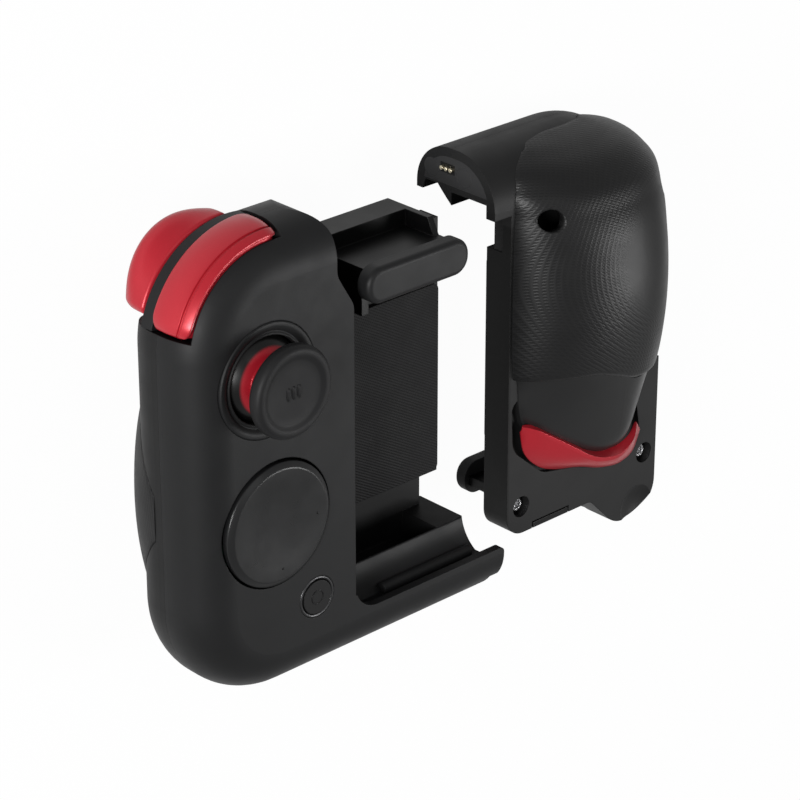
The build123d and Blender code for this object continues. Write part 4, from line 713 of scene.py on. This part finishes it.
# %% Screws
def screw(x, y, seat, tip):
    """Shank from its tip to the seat, then a rounded head with a lobed recess in its top."""
    way = 1 if seat > tip else -1
    shape = [(0.3, tip), (0.95, tip + way * 0.5), (0.95, seat), (1.88, seat), (1.9, seat + way * 0.45),
             (1.72, seat + way * 0.95), (1.3, seat + way * 1.28), (1.02, seat + way * 1.28),
             (0.96, seat + way * 1.2), (0.9, seat + way * 0.5), (0.4, seat + way * 0.45)]
    return turned(shape, (x, y, 0.0), around=72, wave=[0] * 7 + [0.16, 0.16, 0.16, 0])


right_points = [(46.9, -44.6), (85.4, -44.6)] + upper_screws
SCREW_SEAT = 20.4
SCREW_TIP = 17.85
piece("right_pan_screws", "right_unit", steel,
      [screw(x, y, SCREW_SEAT, SCREW_TIP) for x, y in right_points], ["right_screws"])

# %% Sprung contacts
tip = [(0.12, 36.9), (0.3, 36.93), (0.44, 37.05), (0.5, 37.25), (0.5, 39.1), (0.3, 39.2)]
piece("contact_tips", "right_contacts_body", gold,
      [turned(tip, (0.0, 31.4, 9.1 + step), axis=0, around=40) for step in (-1.3, 0.0, 1.3)],
      ["right_contact_pins"])

# %% [markdown]
# ## Floor, light and camera
#
# The floor is pale and keeps a trace of the object's soft shadow. The camera sees the surroundings
# as nearly plain white, and the lamps stay soft so that dark plastic keeps its own colour.

# %% Floor
def white_to_the_eye(tree, plain, share, mirrored):
    """Mixes a plain white glow into a surface: one share for camera rays, one for mirror and glass rays."""
    rays = tree.nodes.new("ShaderNodeLightPath")
    bounced = sums(tree, "MAXIMUM", rays.outputs["Is Glossy Ray"], rays.outputs["Is Transmission Ray"])
    seen = sums(tree, "MAXIMUM", sums(tree, "MULTIPLY", rays.outputs["Is Camera Ray"], share),
                sums(tree, "MULTIPLY", bounced, mirrored))
    glow = tree.nodes.new("ShaderNodeEmission")
    glow.inputs["Color"].default_value = (1, 1, 1, 1)
    mix = tree.nodes.new("ShaderNodeMixShader")
    tree.links.new(seen, mix.inputs[0])
    tree.links.new(plain, mix.inputs[1])
    tree.links.new(glow.outputs[0], mix.inputs[2])
    return mix.outputs[0]


FLOOR_SIZE = 6.0              # metres
FLOOR_WHITE = 0.97            # share of plain white that the camera sees on the floor
MIRRORED_WHITE = 0.3          # share of white that gloss and glass see
bpy.ops.mesh.primitive_plane_add(size=FLOOR_SIZE, location=(0, 0, 0))
floor = bpy.context.object
floor.name = "floor"
floor_mat = finish_of("floor", (0.86, 0.86, 0.86), (0.9, 0.9, 0.9), 0.8, grain=50.0, depth=0.001,
                      flecks=0.0)
tree = floor_mat.node_tree
tree.links.new(white_to_the_eye(tree, tree.nodes["Principled BSDF"].outputs[0], FLOOR_WHITE, MIRRORED_WHITE),
               tree.nodes["Material Output"].inputs["Surface"])
floor.data.materials.append(floor_mat)
print("floor", FLOOR_SIZE, "m")


# %% Light
def area_light(name, place_at, aim, size, power):
    """A square white lamp of a size in metres and a power in watts, turned to face its aim."""
    data = bpy.data.lights.new(name, "AREA")
    data.energy = power
    data.size = size
    obj = bpy.data.objects.new(name, data)
    bpy.context.collection.objects.link(obj)
    obj.location = place_at
    obj.rotation_euler = (Vector(aim) - Vector(place_at)).to_track_quat("-Z", "Y").to_euler()
    print("lamp", name, power, "W")


area_light("key", (0.42, -0.1, 0.58), aim=(0, 0.01, 0.02), size=0.22, power=2.0)
area_light("left", (-0.58, 0.1, 0.34), aim=(-0.01, 0.01, 0.02), size=0.2, power=4.0)
area_light("top", (-0.05, 0.3, 0.6), aim=(0, 0, 0.02), size=0.3, power=0.2)

SKY_STRENGTH = 0.13
world = bpy.data.worlds.new("studio")
bpy.context.scene.world = world
world.use_nodes = True
tree = world.node_tree
sky = tree.nodes["Background"]
sky.inputs["Color"].default_value = (1, 1, 1, 1)
sky.inputs["Strength"].default_value = SKY_STRENGTH
tree.links.new(white_to_the_eye(tree, sky.outputs[0], 1.0, MIRRORED_WHITE),
               tree.nodes["World Output"].inputs["Surface"])

# %% Camera
SENSOR_WIDTH = 36.0           # millimetres
FOCAL_LENGTH = 141.3
camera_at = Vector((-0.400195, 0.270693, 0.441749))
look_at = Vector((-0.018395, 0.007093, 0.035149))
ahead = (look_at - camera_at).normalized()
side = ahead.cross(Vector((0, 1, 0))).normalized()
above = side.cross(ahead)
data = bpy.data.cameras.new("photo camera")
data.sensor_width = SENSOR_WIDTH
data.lens = FOCAL_LENGTH
camera = bpy.data.objects.new("photo camera", data)
bpy.context.collection.objects.link(camera)
camera.matrix_world = Matrix((
    (side.x, above.x, -ahead.x, camera_at.x),
    (side.y, above.y, -ahead.y, camera_at.y),
    (side.z, above.z, -ahead.z, camera_at.z),
    (0, 0, 0, 1)))
bpy.context.scene.camera = camera
bpy.context.scene.view_settings.view_transform = "Standard"
print("camera", round((look_at - camera_at).length, 3), "m from what it looks at")
